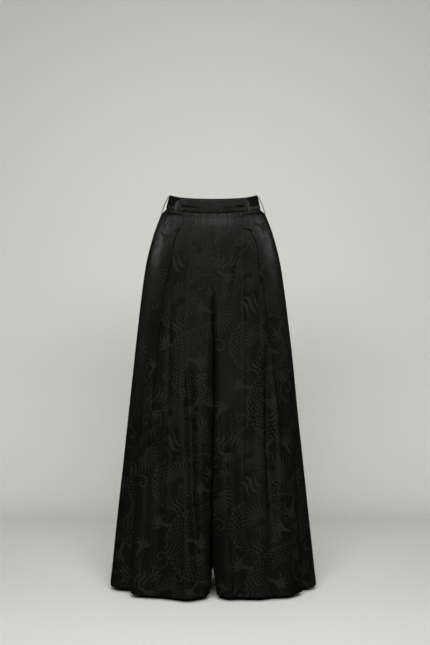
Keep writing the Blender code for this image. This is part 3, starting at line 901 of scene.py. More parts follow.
def nearest(x, y, points):
    """For each place, the nearest of a line's points: length along it, distance to its left, and half width.

    The half width shrinks past a line's end, so that the line stops there.
    """
    along, aside, width = np.empty((3, len(x)))
    target = points[:, :2].astype(np.float32)
    for start in range(0, len(x), 4000):
        part = slice(start, start + 4000)
        far = (x[part, None].astype(np.float32) - target[:, 0]) ** 2
        far += (y[part, None].astype(np.float32) - target[:, 1]) ** 2
        row = points[far.argmin(axis=1)]
        off_x = x[part] - row[:, 0]
        off_y = y[part] - row[:, 1]
        ahead = off_x * row[:, 3] + off_y * row[:, 4]
        along[part] = row[:, 5] + ahead
        aside[part] = row[:, 3] * off_y - row[:, 4] * off_x
        width[part] = row[:, 2] - np.maximum(np.abs(ahead) - 2 * LINE_STEP, 0)
    return along, aside, width


def motif_field(x, y, width, height):
    """The nearest motif's own coordinates, turned to it and in parts of its radius, and its kind.

    The kind is 0 well past the motif's radius, so that no triangle mixes two motifs.
    """
    own_x, own_y = np.full((2, len(x)), 9.0)
    kind = np.zeros(x.shape)
    best = np.full(x.shape, MOTIF_EDGE)
    for middle_x, middle_y, radius, turn, hand, number in zip(*MOTIFS.values()):
        way = radians(turn)
        for dx, dy in NEIGHBOURS:
            off_x = (x - middle_x - dx * width) / radius
            off_y = (y - middle_y - dy * height - (dx % 2) * height / 2) / radius
            reach = np.hypot(off_x, off_y)
            near = reach < np.maximum(best, np.where(kind == 0, 2 * MOTIF_EDGE, 0))
            own_x = np.where(near, off_x * cos(way) + off_y * sin(way), own_x)
            own_y = np.where(near, hand * (off_y * cos(way) - off_x * sin(way)), own_y)
            kind = np.where(near & (reach < MOTIF_EDGE), number, np.where(near, 0, kind))
            best = np.where(near, reach, best)
    return own_x, own_y, kind


def weave_pattern(flat, sizes):
    """The pattern's fields at places on the flat cloth: the bodies and the motifs that the material draws."""
    width, height = sizes.repeat_width, sizes.repeat_height
    x, y = in_repeat(flat, width, height)
    spines = tiled([smooth_line(line, LINE_STEP) for line in SPINES.values()], width, height)
    along, aside, half_width = nearest(x, y, spines)
    half_width = np.where(np.abs(aside) < 1.7 * np.maximum(half_width, 0) + FIN_REACH, half_width, 0)
    return {
        "body": np.stack([along, aside, half_width], axis=1),
        "motif": np.stack(motif_field(x, y, width, height), axis=1),
    }


def sheet_object(name, points, flat, finishes, flip, thickness, fields):
    """A grid of points as an open sheet with a UV map in metres and a Solidify modifier for its wall."""
    down, across = points.shape[:2]
    index = np.arange(down * across).reshape(down, across)
    quads = np.stack([index[:-1, :-1], index[1:, :-1], index[1:, 1:], index[:-1, 1:]], axis=-1).reshape(-1, 4)
    if flip:
        quads = quads[:, ::-1]
    mesh = bpy.data.meshes.new(name)
    mesh.vertices.add(down * across)
    mesh.vertices.foreach_set("co", points.reshape(-1).astype(np.float32))
    mesh.loops.add(quads.size)
    mesh.loops.foreach_set("vertex_index", quads.reshape(-1).astype(np.int32))
    mesh.polygons.add(len(quads))
    mesh.polygons.foreach_set("loop_start", np.arange(0, quads.size, 4, dtype=np.int32))
    layer = mesh.uv_layers.new(name="cloth")
    layer.data.foreach_set("uv", flat.reshape(-1, 2)[quads.reshape(-1)].reshape(-1).astype(np.float32))
    for key, values in fields.items():
        attribute = mesh.attributes.new(key, "FLOAT_VECTOR", "POINT")
        attribute.data.foreach_set("vector", values.reshape(-1).astype(np.float32))
    mesh.update(calc_edges=True)
    thing = shown(mesh, finishes)
    wall = thing.modifiers.new("Wall", "SOLIDIFY")
    wall.thickness = thickness
    wall.offset = -1
    if len(finishes) > 1:
        wall.material_offset = 1
    return thing


def shown(mesh, finishes):
    """An object of a mesh in the scene, shaded smooth and with its materials."""
    mesh.shade_smooth()
    for draw in finishes:
        mesh.materials.append(material_from(draw))
    thing = bpy.data.objects.new(mesh.name, mesh)
    bpy.context.scene.collection.objects.link(thing)
    return thing


def belongs(thing, replaced):
    """Makes a piece ride on the trousers and stand for its CAD node, which it hides."""
    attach(thing, ROOT)
    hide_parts(replaced)


def jacquard_piece(name, replaced, kind, points, flat, flip):
    """A piece cut from the jacquard at its kind's place in the pattern, in its CAD node's stead."""
    sizes = bpy.context.scene.trouser_sizes
    fields = weave_pattern(flat.reshape(-1, 2) + np.array(PATTERN_SHIFT[kind]), sizes)
    finishes = [silk_satin_jacquard] if kind in THICKNESS else [silk_satin_jacquard, silk_satin_reverse]
    piece = sheet_object(name, points, flat, finishes, flip, THICKNESS.get(kind, sizes.cloth), fields)
    belongs(piece, replaced)
    return piece


def material_from(draw):
    """The material that a function draws, made once under the function's name."""
    made = bpy.data.materials.get(draw.__name__)
    if made is None:
        made = bpy.data.materials.new(draw.__name__)
        made.use_nodes = True
        tree = made.node_tree
        tree.nodes.clear()
        node(tree, "OutputMaterial", (draw(tree, bpy.context.scene.trouser_colours),))
    return made


def node(tree, kind, inputs, **settings):
    """Adds a node and gives its outputs.

    Settings go to its fields. Inputs, in order or by name, give a socket a value or another node's output.
    """
    made = tree.nodes.new("ShaderNode" + kind)
    for key, value in settings.items():
        setattr(made, key, value)
    for key, value in inputs.items() if isinstance(inputs, dict) else enumerate(inputs):
        if isinstance(value, bpy.types.NodeSocket):
            tree.links.new(value, made.inputs[key])
        else:
            made.inputs[key].default_value = value
    return made.outputs


def woven_body(tree):
    """A creature's body: pale scales in a staggered lattice, a line along its edges, and a toothed fin."""
    body = node(tree, "Attribute", (), attribute_name="body")["Vector"]
    along, aside, half_width = node(tree, "SeparateXYZ", (body,))
    off = node(tree, "Math", (aside,), operation="ABSOLUTE")[0]
    into = node(tree, "Math", (half_width, off), operation="SUBTRACT")[0]
    pitch = 1 / bpy.context.scene.trouser_sizes.scale_pitch
    turned = node(tree, "Mapping", {0: body, 2: (0, 0, pi / 4), 3: (pitch, pitch, 0)})[0]
    lattice = {"Vector": turned, "Scale": 1.0, "Randomness": 0.18}
    cells = node(tree, "TexVoronoi", lattice, voronoi_dimensions="2D")["Distance"]
    dots = node(tree, "MapRange", (cells, 0.20, 0.47, 0.78, 0.18), interpolation_type="SMOOTHSTEP")[0]
    inside = node(tree, "MapRange", (into, 0.0, 0.0012), interpolation_type="SMOOTHSTEP")[0]
    scales = node(tree, "Mix", {0: inside, 2: GROUND_LEVEL, 3: dots})[0]
    off = node(tree, "Math", (into,), operation="ABSOLUTE")[0]
    rim = node(tree, "MapRange", (off, 0.0014, 0.0005, 0.0, 0.7), interpolation_type="SMOOTHSTEP")[0]
    tooth = node(tree, "Math", (along, 0.0054), operation="PINGPONG")[0]
    tip = node(tree, "Math", (half_width, tooth), operation="ADD")[0]
    tip = node(tree, "Math", (tip, aside), operation="SUBTRACT")[0]
    fin = node(tree, "MapRange", (tip, 0.0, 0.0008), interpolation_type="SMOOTHSTEP")[0]
    outside = node(tree, "Math", (aside, half_width), operation="GREATER_THAN")[0]
    fin = node(tree, "Math", (fin, outside), operation="MULTIPLY")[0]
    edge = node(tree, "Math", (rim, fin), operation="MAXIMUM")[0]
    real = node(tree, "MapRange", (half_width, 0.002, 0.004), interpolation_type="SMOOTHSTEP")[0]
    edge = node(tree, "Math", (edge, real), operation="MULTIPLY")[0]
    return node(tree, "Math", (scales, edge), operation="MAXIMUM")[0]


def woven_rays(tree, reach, angle):
    """A burst: rays that sweep round as they go out and thin to points, with a gap on the far side."""
    phase = node(tree, "Math", (reach, 9.0), operation="MULTIPLY")[0]
    phase = node(tree, "Math", (angle, RAYS, phase), operation="MULTIPLY_ADD")[0]
    wave = node(tree, "Math", (phase,), operation="SINE")[0]
    comb = node(tree, "Math", (reach, -1.5, wave), operation="MULTIPLY_ADD")[0]
    rays = node(tree, "MapRange", (comb, -1.00, -0.55), interpolation_type="SMOOTHSTEP")[0]
    swing = node(tree, "Math", (angle,), operation="ABSOLUTE")[0]
    for value, start, full in ((reach, 1.0, 0.94), (reach, 0.20, 0.26), (swing, 2.75, 2.60)):
        limit = node(tree, "MapRange", (value, start, full), interpolation_type="SMOOTHSTEP")[0]
        rays = node(tree, "Math", (rays, limit), operation="MULTIPLY")[0]
    return rays


def woven_claw(tree, own_x, own_y, reach, angle):
    """A clawed foot: five toes from a round palm, bent one way and tapering to points, and a leg."""
    square = node(tree, "Math", (reach, reach), operation="MULTIPLY")[0]
    bent = node(tree, "Math", (square, -0.85, angle), operation="MULTIPLY_ADD")[0]
    toe = node(tree, "Math", (bent, TOE_ANGLE), operation="DIVIDE")[0]
    toe = node(tree, "Math", (toe,), operation="ROUND")[0]
    toe = node(tree, "Clamp", (toe, -2.0, 2.0))[0]
    off = node(tree, "Math", (toe, -TOE_ANGLE, bent), operation="MULTIPLY_ADD")[0]
    off = node(tree, "Math", (off,), operation="ABSOLUTE")[0]
    off = node(tree, "Math", (off, reach), operation="MULTIPLY")[0]
    taper = node(tree, "MapRange", (reach, 0.25, 1.0, 0.14, 0.01))[0]
    into = node(tree, "Math", (taper, off), operation="SUBTRACT")[0]
    toes = node(tree, "MapRange", (into, -0.02, 0.02), interpolation_type="SMOOTHSTEP")[0]
    palm = node(tree, "MapRange", (reach, 0.27, 0.22), interpolation_type="SMOOTHSTEP")[0]
    off = node(tree, "Math", (own_y,), operation="ABSOLUTE")[0]
    leg = node(tree, "Math", (own_x, 0.0), operation="LESS_THAN")[0]
    for value, start, full in ((off, 0.15, 0.11), (reach, 1.0, 0.9)):
        limit = node(tree, "MapRange", (value, start, full), interpolation_type="SMOOTHSTEP")[0]
        leg = node(tree, "Math", (leg, limit), operation="MULTIPLY")[0]
    foot = node(tree, "Math", (toes, palm), operation="MAXIMUM")[0]
    return node(tree, "Math", (foot, leg), operation="MAXIMUM")[0]


def woven_whisker(tree, reach, angle):
    """A whisker: one spiral line, turns = 1.7 r^0.6, which opens as it goes out."""
    turns = node(tree, "Math", (reach, 0.6), operation="POWER")[0]
    turns = node(tree, "Math", (turns, 1.7), operation="MULTIPLY")[0]
    off = node(tree, "Math", (angle, -1 / (2 * pi), turns), operation="MULTIPLY_ADD")[0]
    whole = node(tree, "Math", (off,), operation="ROUND")[0]
    off = node(tree, "Math", (off, whole), operation="SUBTRACT")[0]
    off = node(tree, "Math", (off,), operation="ABSOLUTE")[0]
    wider = node(tree, "Math", (reach, 0.4), operation="POWER")[0]
    off = node(tree, "Math", (off, wider), operation="MULTIPLY")[0]
    line = node(tree, "MapRange", (off, 0.075, 0.045), interpolation_type="SMOOTHSTEP")[0]
    limit = node(tree, "MapRange", (reach, 0.98, 0.95), interpolation_type="SMOOTHSTEP")[0]
    return node(tree, "Math", (line, limit), operation="MULTIPLY")[0]


def woven_flame(tree, own_x, own_y, reach):
    """A flame: three tongues side by side, y - 0.22 sin(3.4 x) = -0.5, 0 and 0.5, tapering to both ends."""
    wave = node(tree, "Math", (own_x, 3.4), operation="MULTIPLY")[0]
    wave = node(tree, "Math", (wave,), operation="SINE")[0]
    across = node(tree, "Math", (wave, -0.22, own_y), operation="MULTIPLY_ADD")[0]
    tongue = node(tree, "Math", (across, 0.5), operation="DIVIDE")[0]
    tongue = node(tree, "Math", (tongue,), operation="ROUND")[0]
    off = node(tree, "Math", (tongue, -0.5, across), operation="MULTIPLY_ADD")[0]
    off = node(tree, "Math", (off,), operation="ABSOLUTE")[0]
    taper = node(tree, "MapRange", (reach, 0.1, 1.0, 0.19, 0.0))[0]
    into = node(tree, "Math", (taper, off), operation="SUBTRACT")[0]
    return node(tree, "MapRange", (into, -0.02, 0.02), interpolation_type="SMOOTHSTEP")[0]


def jacquard_pattern(tree):
    """Draws the woven pattern from the cloth's fields: 1 in a motif, 0 between a body's scales."""
    motif = node(tree, "Attribute", (), attribute_name="motif")["Vector"]
    own_x, own_y, kind = node(tree, "SeparateXYZ", (motif,))
    place = node(tree, "CombineXYZ", (own_x, own_y))[0]
    reach = node(tree, "VectorMath", (place,), operation="LENGTH")["Value"]
    angle = node(tree, "Math", (own_y, own_x), operation="ARCTAN2")[0]
    inside = node(tree, "Math", (reach, 1.0), operation="LESS_THAN")[0]
    pattern = woven_body(tree)
    shapes = (
        woven_rays(tree, reach, angle),
        woven_claw(tree, own_x, own_y, reach, angle),
        woven_whisker(tree, reach, angle),
        woven_flame(tree, own_x, own_y, reach),
    )
    for number, shape in enumerate(shapes, start=1):
        chosen = node(tree, "Math", (kind, float(number), 0.5), operation="COMPARE")[0]
        for mask in (chosen, inside):
            shape = node(tree, "Math", (shape, mask), operation="MULTIPLY")[0]
        pattern = node(tree, "Math", (pattern, shape), operation="MAXIMUM")[0]
    return pattern


def shade(colour, share):
    """A colour with its light multiplied."""
    return (*(share * part for part in colour[:3]), 1)


def silk_satin_jacquard(tree, colours):
    """Silk satin jacquard, woven: a smooth, glossy warp-faced ground, with weft-faced motifs that are
    duller and a little paler. So a motif looks dark where the ground catches the light, and pale where it
    doesn't.
    """
    pattern = jacquard_pattern(tree)
    cloth = node(tree, "UVMap", (), uv_map="cloth")[0]
    # Threads lie 0.05 mm apart, too fine to show, so slubs 2 mm wide and 60 mm long stand in for them
    stretched = node(tree, "Mapping", {0: cloth, 3: (500, 16, 1)})[0]
    threads = {"Vector": stretched, "Scale": 1.0, "Detail": 3.0, "Roughness": 0.6}
    slubs = node(tree, "TexNoise", threads, noise_dimensions="2D")[0]
    clouds = node(tree, "TexNoise", {"Vector": cloth, "Scale": 11.0, "Detail": 2.0}, noise_dimensions="2D")[0]
    darker = shade(colours.ground, 0.72)
    ground = node(tree, "Mix", {0: slubs, 6: colours.ground, 7: darker}, data_type="RGBA")[2]
    colour = node(tree, "Mix", {0: pattern, 6: ground, 7: colours.motif}, data_type="RGBA")[2]
    matt = node(tree, "MapRange", {0: pattern, 3: 0.20, 4: 0.78})[0]
    uneven = node(tree, "MapRange", (clouds, 0.3, 0.7, -0.04, 0.05))[0]
    matt = node(tree, "Math", (matt, uneven), operation="ADD")[0]
    relief = node(tree, "Math", (pattern, 0.00006), operation="MULTIPLY")[0]
    for texture, height in ((slubs, 0.00012), (clouds, 0.0010)):
        relief = node(tree, "Math", (texture, height, relief), operation="MULTIPLY_ADD")[0]
    bump = node(tree, "Bump", {"Strength": 0.9, "Distance": 1.0, "Height": relief})[0]
    gloss = {"IOR": 1.50, "Specular IOR Level": 0.40}
    return node(tree, "BsdfPrincipled", {"Base Color": colour, "Roughness": matt, "Normal": bump, **gloss})[0]


def silk_satin_reverse(tree, colours):
    """The jacquard's reverse, woven: a dull weft face, which gives flat dark grey with fine upright lines."""
    cloth = node(tree, "UVMap", (), uv_map="cloth")[0]
    # Drawn coarser than the threads, as on the face
    stretched = node(tree, "Mapping", {0: cloth, 3: (600, 30, 1)})[0]
    threads = {"Vector": stretched, "Scale": 1.0, "Detail": 3.0}
    slubs = node(tree, "TexNoise", threads, noise_dimensions="2D")[0]
    darker = shade(colours.reverse, 0.6)
    colour = node(tree, "Mix", {0: slubs, 6: colours.reverse, 7: darker}, data_type="RGBA")[2]
    relief = node(tree, "Math", (slubs, 0.00015), operation="MULTIPLY")[0]
    bump = node(tree, "Bump", {"Strength": 0.8, "Distance": 1.0, "Height": relief})[0]
    nap = {"Roughness": 0.66, "Sheen Weight": 0.08, "Sheen Roughness": 0.5}
    return node(tree, "BsdfPrincipled", {"Base Color": colour, "Normal": bump, **nap})[0]


def ribbed_elastic(tree, colours):
    """Ribbed elastic webbing, woven polyester over rubber: matte black, with fine ribs; the yarns are painted
    paler on their crowns and darker in the gaps between them, a painted highlight and shade on their relief.
    """
    cloth = node(tree, "UVMap", (), uv_map="cloth")[0]
    # Yarns of the webbing are 0.35 mm apart; they are drawn at 0.9 mm so that they show
    woven = node(tree, "Mapping", {0: cloth, 3: (1 / 0.0009, 1 / 0.0012, 1)})[0]
    lattice = {"Vector": woven, "Scale": 1.0, "Randomness": 0.25}
    yarns = node(tree, "TexVoronoi", lattice, voronoi_dimensions="2D")["Distance"]
    # The yarns' relief doubles as their colour: painted highlight on the crowns, painted shade in the gaps
    yarn_relief_and_shade = node(tree, "MapRange", (yarns, 0.1, 0.7, 1.0, 0.0))[0]
    paler = shade(colours.elastic, 1.7)
    colour = node(tree, "Mix", {0: yarn_relief_and_shade, 6: colours.elastic, 7: paler}, data_type="RGBA")[2]
    relief = node(tree, "Math", (yarn_relief_and_shade, 0.0003), operation="MULTIPLY")[0]
    bump = node(tree, "Bump", {"Strength": 0.8, "Distance": 1.0, "Height": relief})[0]
    dull = {"Roughness": 0.85, "Specular IOR Level": 0.10}
    return node(tree, "BsdfPrincipled", {"Base Color": colour, "Normal": bump, **dull})[0]


def sewing_thread(tree, colours):
    """Spun polyester sewing thread: black, with a faint painted sheen along its twist, in bands of paler and
    darker colour.
    """
    place = node(tree, "TexCoord", ())["Object"]
    strands = {"Vector": place, "Scale": 700.0, "Distortion": 1.5}
    # Painted sheen: bands along the twist that go from the thread's colour to half as bright
    twist = node(tree, "TexWave", strands, bands_direction="DIAGONAL")[1]
    darker = shade(colours.thread, 0.5)
    colour = node(tree, "Mix", {0: twist, 6: colours.thread, 7: darker}, data_type="RGBA")[2]
    return node(tree, "BsdfPrincipled", {"Base Color": colour, "Roughness": 0.45})[0]


def backdrop_paper(tree, colours):
    """Seamless studio paper: matte and pale, with a faint unevenness."""
    place = node(tree, "TexCoord", ())["Object"]
    clouds = node(tree, "TexNoise", {"Vector": place, "Scale": 1.2, "Detail": 2.0})[0]
    darker = shade(colours.backdrop, 0.97)
    colour = node(tree, "Mix", {0: clouds, 6: colours.backdrop, 7: darker}, data_type="RGBA")[2]
    matte = {"Roughness": 0.85, "Specular IOR Level": 0.2}
    return node(tree, "BsdfPrincipled", {"Base Color": colour, **matte})[0]


def make_leg(face, side):
    """One leg panel: its sheet, its pattern and what it is cut from."""
    points, flat = leg_panel(face, side)
    name = face + "_leg_" + side
    kind = face + "_" + side
    flip = (face == "front") == (side == "left")
    leg = jacquard_piece(name, "leg_" + kind, kind, points, flat, flip)


def half_ring(height):
    """Half the band's outer line at a height, from the middle of the front round one side to the back."""
    front, _, front_normal, _, _ = outline(height, "front")
    back, _, back_normal, _, _ = outline(height, "back")
    turned = np.array([1, -1])
    points = np.concatenate([front[::-1], (back * turned)[1:]])
    normals = np.concatenate([front_normal[::-1], (back_normal * turned)[1:]])
    return points, normals, lengths(points)


def waist_dip(y, height):
    """How far the waistline drops at a point, from nothing at the sides to the full dip at the middle."""
    depth = np.where(y < 0, at(OUTLINE, "front_depth", height), at(OUTLINE, "back_depth", height))
    dip = np.where(y < 0, WAIST_DIP["front"], WAIST_DIP["back"])
    return dip * np.clip(y / depth, -1, 1) ** 2


def band_strip(face, heights, columns, rise):
    """A strip of the waistband at some heights, across the front between the tabs or from there round the
    back.

    Each point lies on the ring at its length, moved out along the ring's normal by the band's crown, a half
    sine of the height, and by rise, a function of the length and the height. Past the middle of the back it
    is mirrored.
    """
    rows = []
    flat = []
    for height in heights:
        points, normals, length = half_ring(height)
        full = length[-1]
        split = np.interp(BAND_SPLIT_X, points[: DENSE // 2, 0], length[: DENSE // 2])
        ends = (-split, split) if face == "front" else (split + SEAM_GAP, 2 * full - split - SEAM_GAP)
        places = np.linspace(*ends, columns)
        folded = np.where(places > full, 2 * full - places, np.abs(places))
        mirrored = np.where((places < 0) | (places > full), -1, 1)
        out = BAND_CROWN * np.sin(pi * height / BAND_HEIGHT) + rise(places, height)
        x, y, out_x, out_y = [np.interp(folded, length, line) for line in (*points.T, *normals.T)]
        z = height - waist_dip(y, height)
        rows.append(np.stack([(x + out * out_x) * mirrored, y + out * out_y, z], axis=1))
        flat.append(np.stack([places, np.full(places.shape, height)], axis=1))
    return np.array(rows), np.array(flat)


def front_band_rise(places, height):
    """The front band's relief: a soft crease near each tab, slack between them, and edges that roll in."""
    rise = np.zeros(places.shape)
    level = np.exp(-(((height - DENT_HEIGHT) / DENT_RUN) ** 2))
    for middle, reach in DENTS:
        rise -= DENT_DEPTH * np.exp(-(((places - middle) / reach) ** 2)) * level
    slack = np.sin(2 * pi * places / SLACK_LENGTH + SLACK_PHASE)
    rise += SLACK_RISE * slack * np.sin(pi * height / BAND_HEIGHT)
    rise += PUCKER_RISE * np.sin(2 * pi * (places + PUCKER_SLANT * height) / PUCKER_LENGTH)
    return rise + edge_roll(height, *BAND_ROLLS[0]) + edge_roll(BAND_HEIGHT - height, *BAND_ROLLS[1])


def elastic_rise(places, height):
    """The elastic's upright ribs, under a flat bound edge at the top, and the slow waves of its stretch."""
    rib = bpy.context.scene.trouser_sizes.rib
    upright = RIB_RISE * np.cos(2 * pi * places / rib) * ease(height, *BOUND_EDGE)
    slow = np.sin(2 * pi * places / STRETCH_LENGTH) * np.sin(pi * height / BAND_HEIGHT)
    return upright + RIB_BASE + STRETCH_RISE * slow


def hip_strip_rise(places, height):
    """The strip's edges that roll in above and below, and the elastic's gathers."""
    rolled = edge_roll(height, *STRIP_ROLLS[0]) + edge_roll(STRIP_TOP - height, *STRIP_ROLLS[1])
    gathers = np.sin(2 * pi * places / STRIP_GATHER_LENGTH + 2 * np.sin(places * 90))
    return rolled + STRIP_GATHER_RISE * gathers + STRIP_BASE


def on_band(height, x, outwards):
    """Points on the front of the garment at heights and distances from the middle, moved out along the
    section.

    The section is y = -b (1 - (x / a)^p)^(1 / p), and its normal is along (x^(p-1) / a^p, -|y|^(p-1) /
    b^p).
    """
    half_width = at(OUTLINE, "half_width", height)
    depth = at(OUTLINE, "front_depth", height)
    power = ROUNDNESS["front"]
    y = -depth * (1 - (x / half_width) ** power) ** (1 / power)
    normal_x = x ** (power - 1) / half_width**power
    normal_y = -np.abs(y) ** (power - 1) / depth**power
    scale = outwards / np.hypot(normal_x, normal_y)
    dip = waist_dip(y, height) * ease(height, DIP_END, 0)
    return np.stack([x + scale * normal_x, y + scale * normal_y, height - dip], axis=-1)


class TROUSERS_OT_front_legs(bpy.types.Operator):
    """Make the two front leg panels, with their pleats, creases and woven pattern"""

    bl_idname = "trousers.front_legs"
    bl_label = "Front legs"

    def execute(self, context):
        for side in ("left", "right"):
            make_leg("front", side)
        return {"FINISHED"}


class TROUSERS_OT_back_legs(bpy.types.Operator):
    """Make the two back leg panels, with the seat's drag lines and the hem's flutes"""

    bl_idname = "trousers.back_legs"
    bl_label = "Back legs"

    def execute(self, context):
        for side in ("left", "right"):
            make_leg("back", side)
        return {"FINISHED"}


class TROUSERS_OT_waistband(bpy.types.Operator):
    """Make the flat front band, the ribbed elastic round the back and the strip below it"""

    bl_idname = "trousers.waistband"
    bl_label = "Waistband"

    def execute(self, context):
        points, flat = band_strip("front", BAND_ROWS, BAND_COLUMNS["front_band"], front_band_rise)
        band = jacquard_piece("front_band", "waistband_front", "front_band", points, flat, True)

        heights = np.linspace(ELASTIC_BOTTOM, BAND_HEIGHT, STRIP_ROWS)
        points, flat = band_strip("back", heights, BAND_COLUMNS["elastic_band"], elastic_rise)
        thickness = context.scene.trouser_sizes.elastic
        elastic = sheet_object("elastic_band", points, flat, [ribbed_elastic], True, thickness, {})
        belongs(elastic, "waistband_back")

        heights = np.linspace(0.0002, STRIP_TOP, STRIP_ROWS)
        points, flat = band_strip("back", heights, BAND_COLUMNS["hip_strip"], hip_strip_rise)
        strip = jacquard_piece("hip_strip", "waistband_back", "hip_strip", points, flat, True)
        return {"FINISHED"}


class TROUSERS_OT_front_tabs(bpy.types.Operator):
    """Make the two folded tabs over the front of the waistband"""

    bl_idname = "trousers.front_tabs"
    bl_label = "Front tabs"

    def execute(self, context):
        share = np.linspace(0, 1, TAB_COLUMNS)
        for side, cut, area in (("left", (0.032, 0.076), 0.0019), ("right", (0.033, 0.080), 0.0021)):
            table = TABS[side]
            top = table["height"][0]
            heights = np.linspace(top, table["height"][-1], TAB_ROWS)[:, None]
            outer, inner, slant = [at(table, name, heights) for name in ("outer_x", "inner_x", "slant")]
            x = outer + share * (inner - outer)
            level = heights - (1 - share) * slant
            crown = TAB_CROWN * np.sin(pi * share) * ease(heights, top + 0.002, TAB_CROWN_FULL)
            pinch = np.exp(-(((share - PINCH_PLACE) / PINCH_WIDTH) ** 2)) * ease(heights, *PINCH_HEIGHTS)
            lift = TAB_RISE * flare(heights) + BAND_CROWN * (heights > 0) + crown - PINCH_DEPTH * pinch
            points = on_band(level, x, lift)
            flat = np.stack([x, level], axis=-1)
            if side == "right":
                points[..., 0] *= -1
            name = "front_tab_" + side
            tab = jacquard_piece(name, "loop_front_" + side, "front_tabs", points, flat, side == "left")
        return {"FINISHED"}


class TROUSERS_OT_side_loops(bpy.types.Operator):
    """Make the two narrow loops over the sides of the waistband"""

    bl_idname = "trousers.side_loops"
    bl_label = "Side loops"

    def execute(self, context):
        share = np.linspace(0, 1, LOOP_ROWS)[:, None]
        width = np.linspace(-0.5, 0.5, LOOP_COLUMNS)
        top, bottom = at(OUTLINE, "half_width", np.array([LOOP_TOP, LOOP_BOTTOM])) + LOOP_RISE
        x = top + share * (bottom - top) + LOOP_BOW * np.sin(pi * share) ** LOOP_BOW_POWER
        crown = LOOP_CROWN * (1 - (2 * width) ** 4)
        height = LOOP_TOP + share * (LOOP_BOTTOM - LOOP_TOP)
        across, level = np.broadcast_arrays(width * LOOP_WIDTH, height)
        flat = np.stack([across, level], axis=-1)
        for side, way in (("left", 1), ("right", -1)):
            points = np.stack([way * (x + crown - LOOP_CROWN), across, level], axis=-1)
            name = "side_loop_" + side
            loop = jacquard_piece(name, "loop_side_" + side, "side_loops", points, flat, side == "right")
        return {"FINISHED"}


def bar_tack(side, place, height):
    """A bar of close stitches across the end of a pleat, on the foremost point of the leg panel near a
    place.

    It is a closed tube along the panel, of radius r sqrt(1 - u^4) with u from -1 to 1, with a small sine
    along it for the stitches, sunk by half its radius into the cloth.
    """
    leg = bpy.data.objects["front_leg_" + side].data
    points, normals = np.empty((2, 3 * len(leg.vertices)), np.float32)
    leg.vertices.foreach_get("co", points)
    leg.vertex_normals.foreach_get("vector", normals)
    points = points.reshape(-1, 3)
    near = np.hypot(points[:, 0] - place, points[:, 2] - height) < TACK_REACH
    foremost = np.where(near, points[:, 1], 1.0).argmin()
    out = normals.reshape(-1, 3)[foremost]
    along = np.cross(out, (0, 0, 1))
    along /= np.linalg.norm(along)
    up = np.cross(along, out)
    u = np.linspace(-1, 1, TACK_RINGS)[1:-1, None, None]
    way = np.linspace(0, 2 * pi, TACK_SIDES, endpoint=False)[:, None]
    radius = TACK_RADIUS * np.sqrt(1 - u**4) * (1 + 0.12 * np.sin(pi * TACK_STITCHES * u))
    middle = points[foremost] + 0.5 * TACK_RADIUS * out
    rings = middle + 0.5 * TACK_LENGTH * u * along + radius * (np.cos(way) * out + np.sin(way) * up)
    poles = middle + 0.5 * TACK_LENGTH * np.array([[-1.0], [1.0]]) * along
    corners = np.concatenate([rings.reshape(-1, 3), poles])
    index = np.arange(rings.shape[0] * TACK_SIDES).reshape(-1, TACK_SIDES)
    turned = np.roll(index, -1, axis=1)
    quads = np.stack([index[:-1], turned[:-1], turned[1:], index[1:]], axis=-1).reshape(-1, 4)
    first = np.stack([np.full(TACK_SIDES, len(corners) - 2), turned[0], index[0]], axis=-1)
    last = np.stack([np.full(TACK_SIDES, len(corners) - 1), index[-1], turned[-1]], axis=-1)
    mesh = bpy.data.meshes.new("bar_tack_" + side)
    mesh.from_pydata(corners.tolist(), [], [*quads.tolist(), *first.tolist(), *last.tolist()])
    return shown(mesh, [sewing_thread])


class TROUSERS_OT_bar_tacks(bpy.types.Operator):
    """Make the bar tacks that hold the ends of the stitched pleats"""

    bl_idname = "trousers.bar_tacks"
    bl_label = "Bar tacks"

    def execute(self, context):
        for side, (place, height) in TACKS.items():
            belongs(bar_tack(side, place, height), "leg_front_" + side)
        return {"FINISHED"}


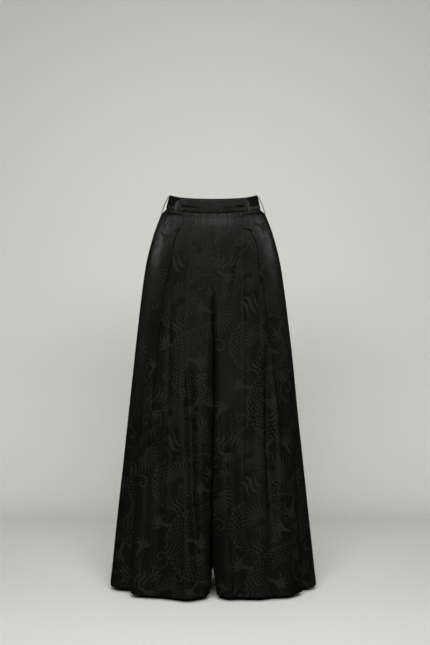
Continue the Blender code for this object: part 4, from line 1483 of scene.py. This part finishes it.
class TROUSERS_OT_studio(bpy.types.Operator):
    """Make the seamless backdrop, the soft lights and the camera"""

    bl_idname = "trousers.studio"
    bl_label = "Studio"

    def execute(self, context):
        scene = context.scene
        turn = np.linspace(0, pi / 2, 24)[1:]
        start = PAPER_BACK - PAPER_BEND
        curve_y = start + PAPER_BEND * np.sin(turn)
        curve_z = FLOOR + PAPER_BEND * (1 - np.cos(turn))
        y = np.concatenate([np.linspace(-2.6, start, 8), curve_y, [PAPER_BACK, PAPER_BACK]])
        z = np.concatenate([np.full(8, FLOOR), curve_z, [FLOOR + 1.5, PAPER_TOP]])
        x = np.linspace(-3, 3, 11)
        points = np.stack(np.broadcast_arrays(x[None, :], y[:, None], z[:, None]), axis=-1)
        paper = sheet_object("backdrop", points, points[..., :2], [backdrop_paper], False, 0.002, {})
        paper.modifiers["Wall"].offset = 1
        # Black flags keep the paper's reflection off the satin in a studio, and this stands in for them
        paper.visible_glossy = False

        world = bpy.data.worlds.new("studio")
        scene.world = world
        world.use_nodes = True
        glow, strength = world.node_tree.nodes["Background"].inputs[:2]
        glow.default_value = linear("#f4f4f2")
        strength.default_value = 0.01
        for name, place, aim, size, share, cone, glossy in LIGHTS:
            light = bpy.data.lights.new(name, "AREA")
            light.shape = "RECTANGLE"
            light.size, light.size_y = size
            light.energy = share * scene.trouser_sizes.key_power
            light.spread = radians(cone)
            lamp = bpy.data.objects.new(name, light)
            lamp.location = place
            x, y, z = np.array(aim) - np.array(place)
            lamp.rotation_euler = (np.arctan2(np.hypot(x, y), -z), 0, np.arctan2(-x, y))
            lamp.visible_glossy = glossy
            scene.collection.objects.link(lamp)

        lens = bpy.data.cameras.new("camera")
        lens.sensor_fit = "VERTICAL"
        lens.sensor_height = 36.0
        lens.lens = FOCAL_LENGTH * 36
        camera = bpy.data.objects.new("camera", lens)
        camera.location = CAMERA_PLACE
        camera.rotation_euler = (radians(90 - CAMERA_TILT), 0, 0)
        scene.collection.objects.link(camera)
        scene.camera = camera
        scene.view_settings.view_transform = "Standard"
        return {"FINISHED"}


class TROUSERS_PT_sidebar(bpy.types.Panel):
    """Lists what the add-on makes, with its sizes and colours"""

    bl_label = "Trousers"
    bl_idname = "TROUSERS_PT_sidebar"
    bl_space_type = "VIEW_3D"
    bl_region_type = "UI"
    bl_category = "Trousers"

    def draw(self, context):
        for maker in MAKERS:
            self.layout.operator(maker.bl_idname)
        for group in (context.scene.trouser_sizes, context.scene.trouser_colours):
            box = self.layout.box()
            for name in group.bl_rna.properties.keys():
                if name not in ("rna_type", "name"):
                    box.prop(group, name)


MAKERS = (
    TROUSERS_OT_studio,
    TROUSERS_OT_front_legs,
    TROUSERS_OT_back_legs,
    TROUSERS_OT_waistband,
    TROUSERS_OT_front_tabs,
    TROUSERS_OT_side_loops,
    TROUSERS_OT_bar_tacks,
)
CLASSES = (TrouserSizes, TrouserColours, *MAKERS, TROUSERS_PT_sidebar)


def register():
    for item in CLASSES:
        bpy.utils.register_class(item)
    bpy.types.Scene.trouser_sizes = PointerProperty(type=TrouserSizes)
    bpy.types.Scene.trouser_colours = PointerProperty(type=TrouserColours)


def unregister():
    del bpy.types.Scene.trouser_colours
    del bpy.types.Scene.trouser_sizes
    for item in reversed(CLASSES):
        bpy.utils.unregister_class(item)


def main():
    register()
    bpy.ops.trousers.studio()
    bpy.ops.trousers.front_legs()
    bpy.ops.trousers.back_legs()
    bpy.ops.trousers.waistband()
    bpy.ops.trousers.front_tabs()
    bpy.ops.trousers.side_loops()
    bpy.ops.trousers.bar_tacks()


if __name__ == "__main__":
    main()
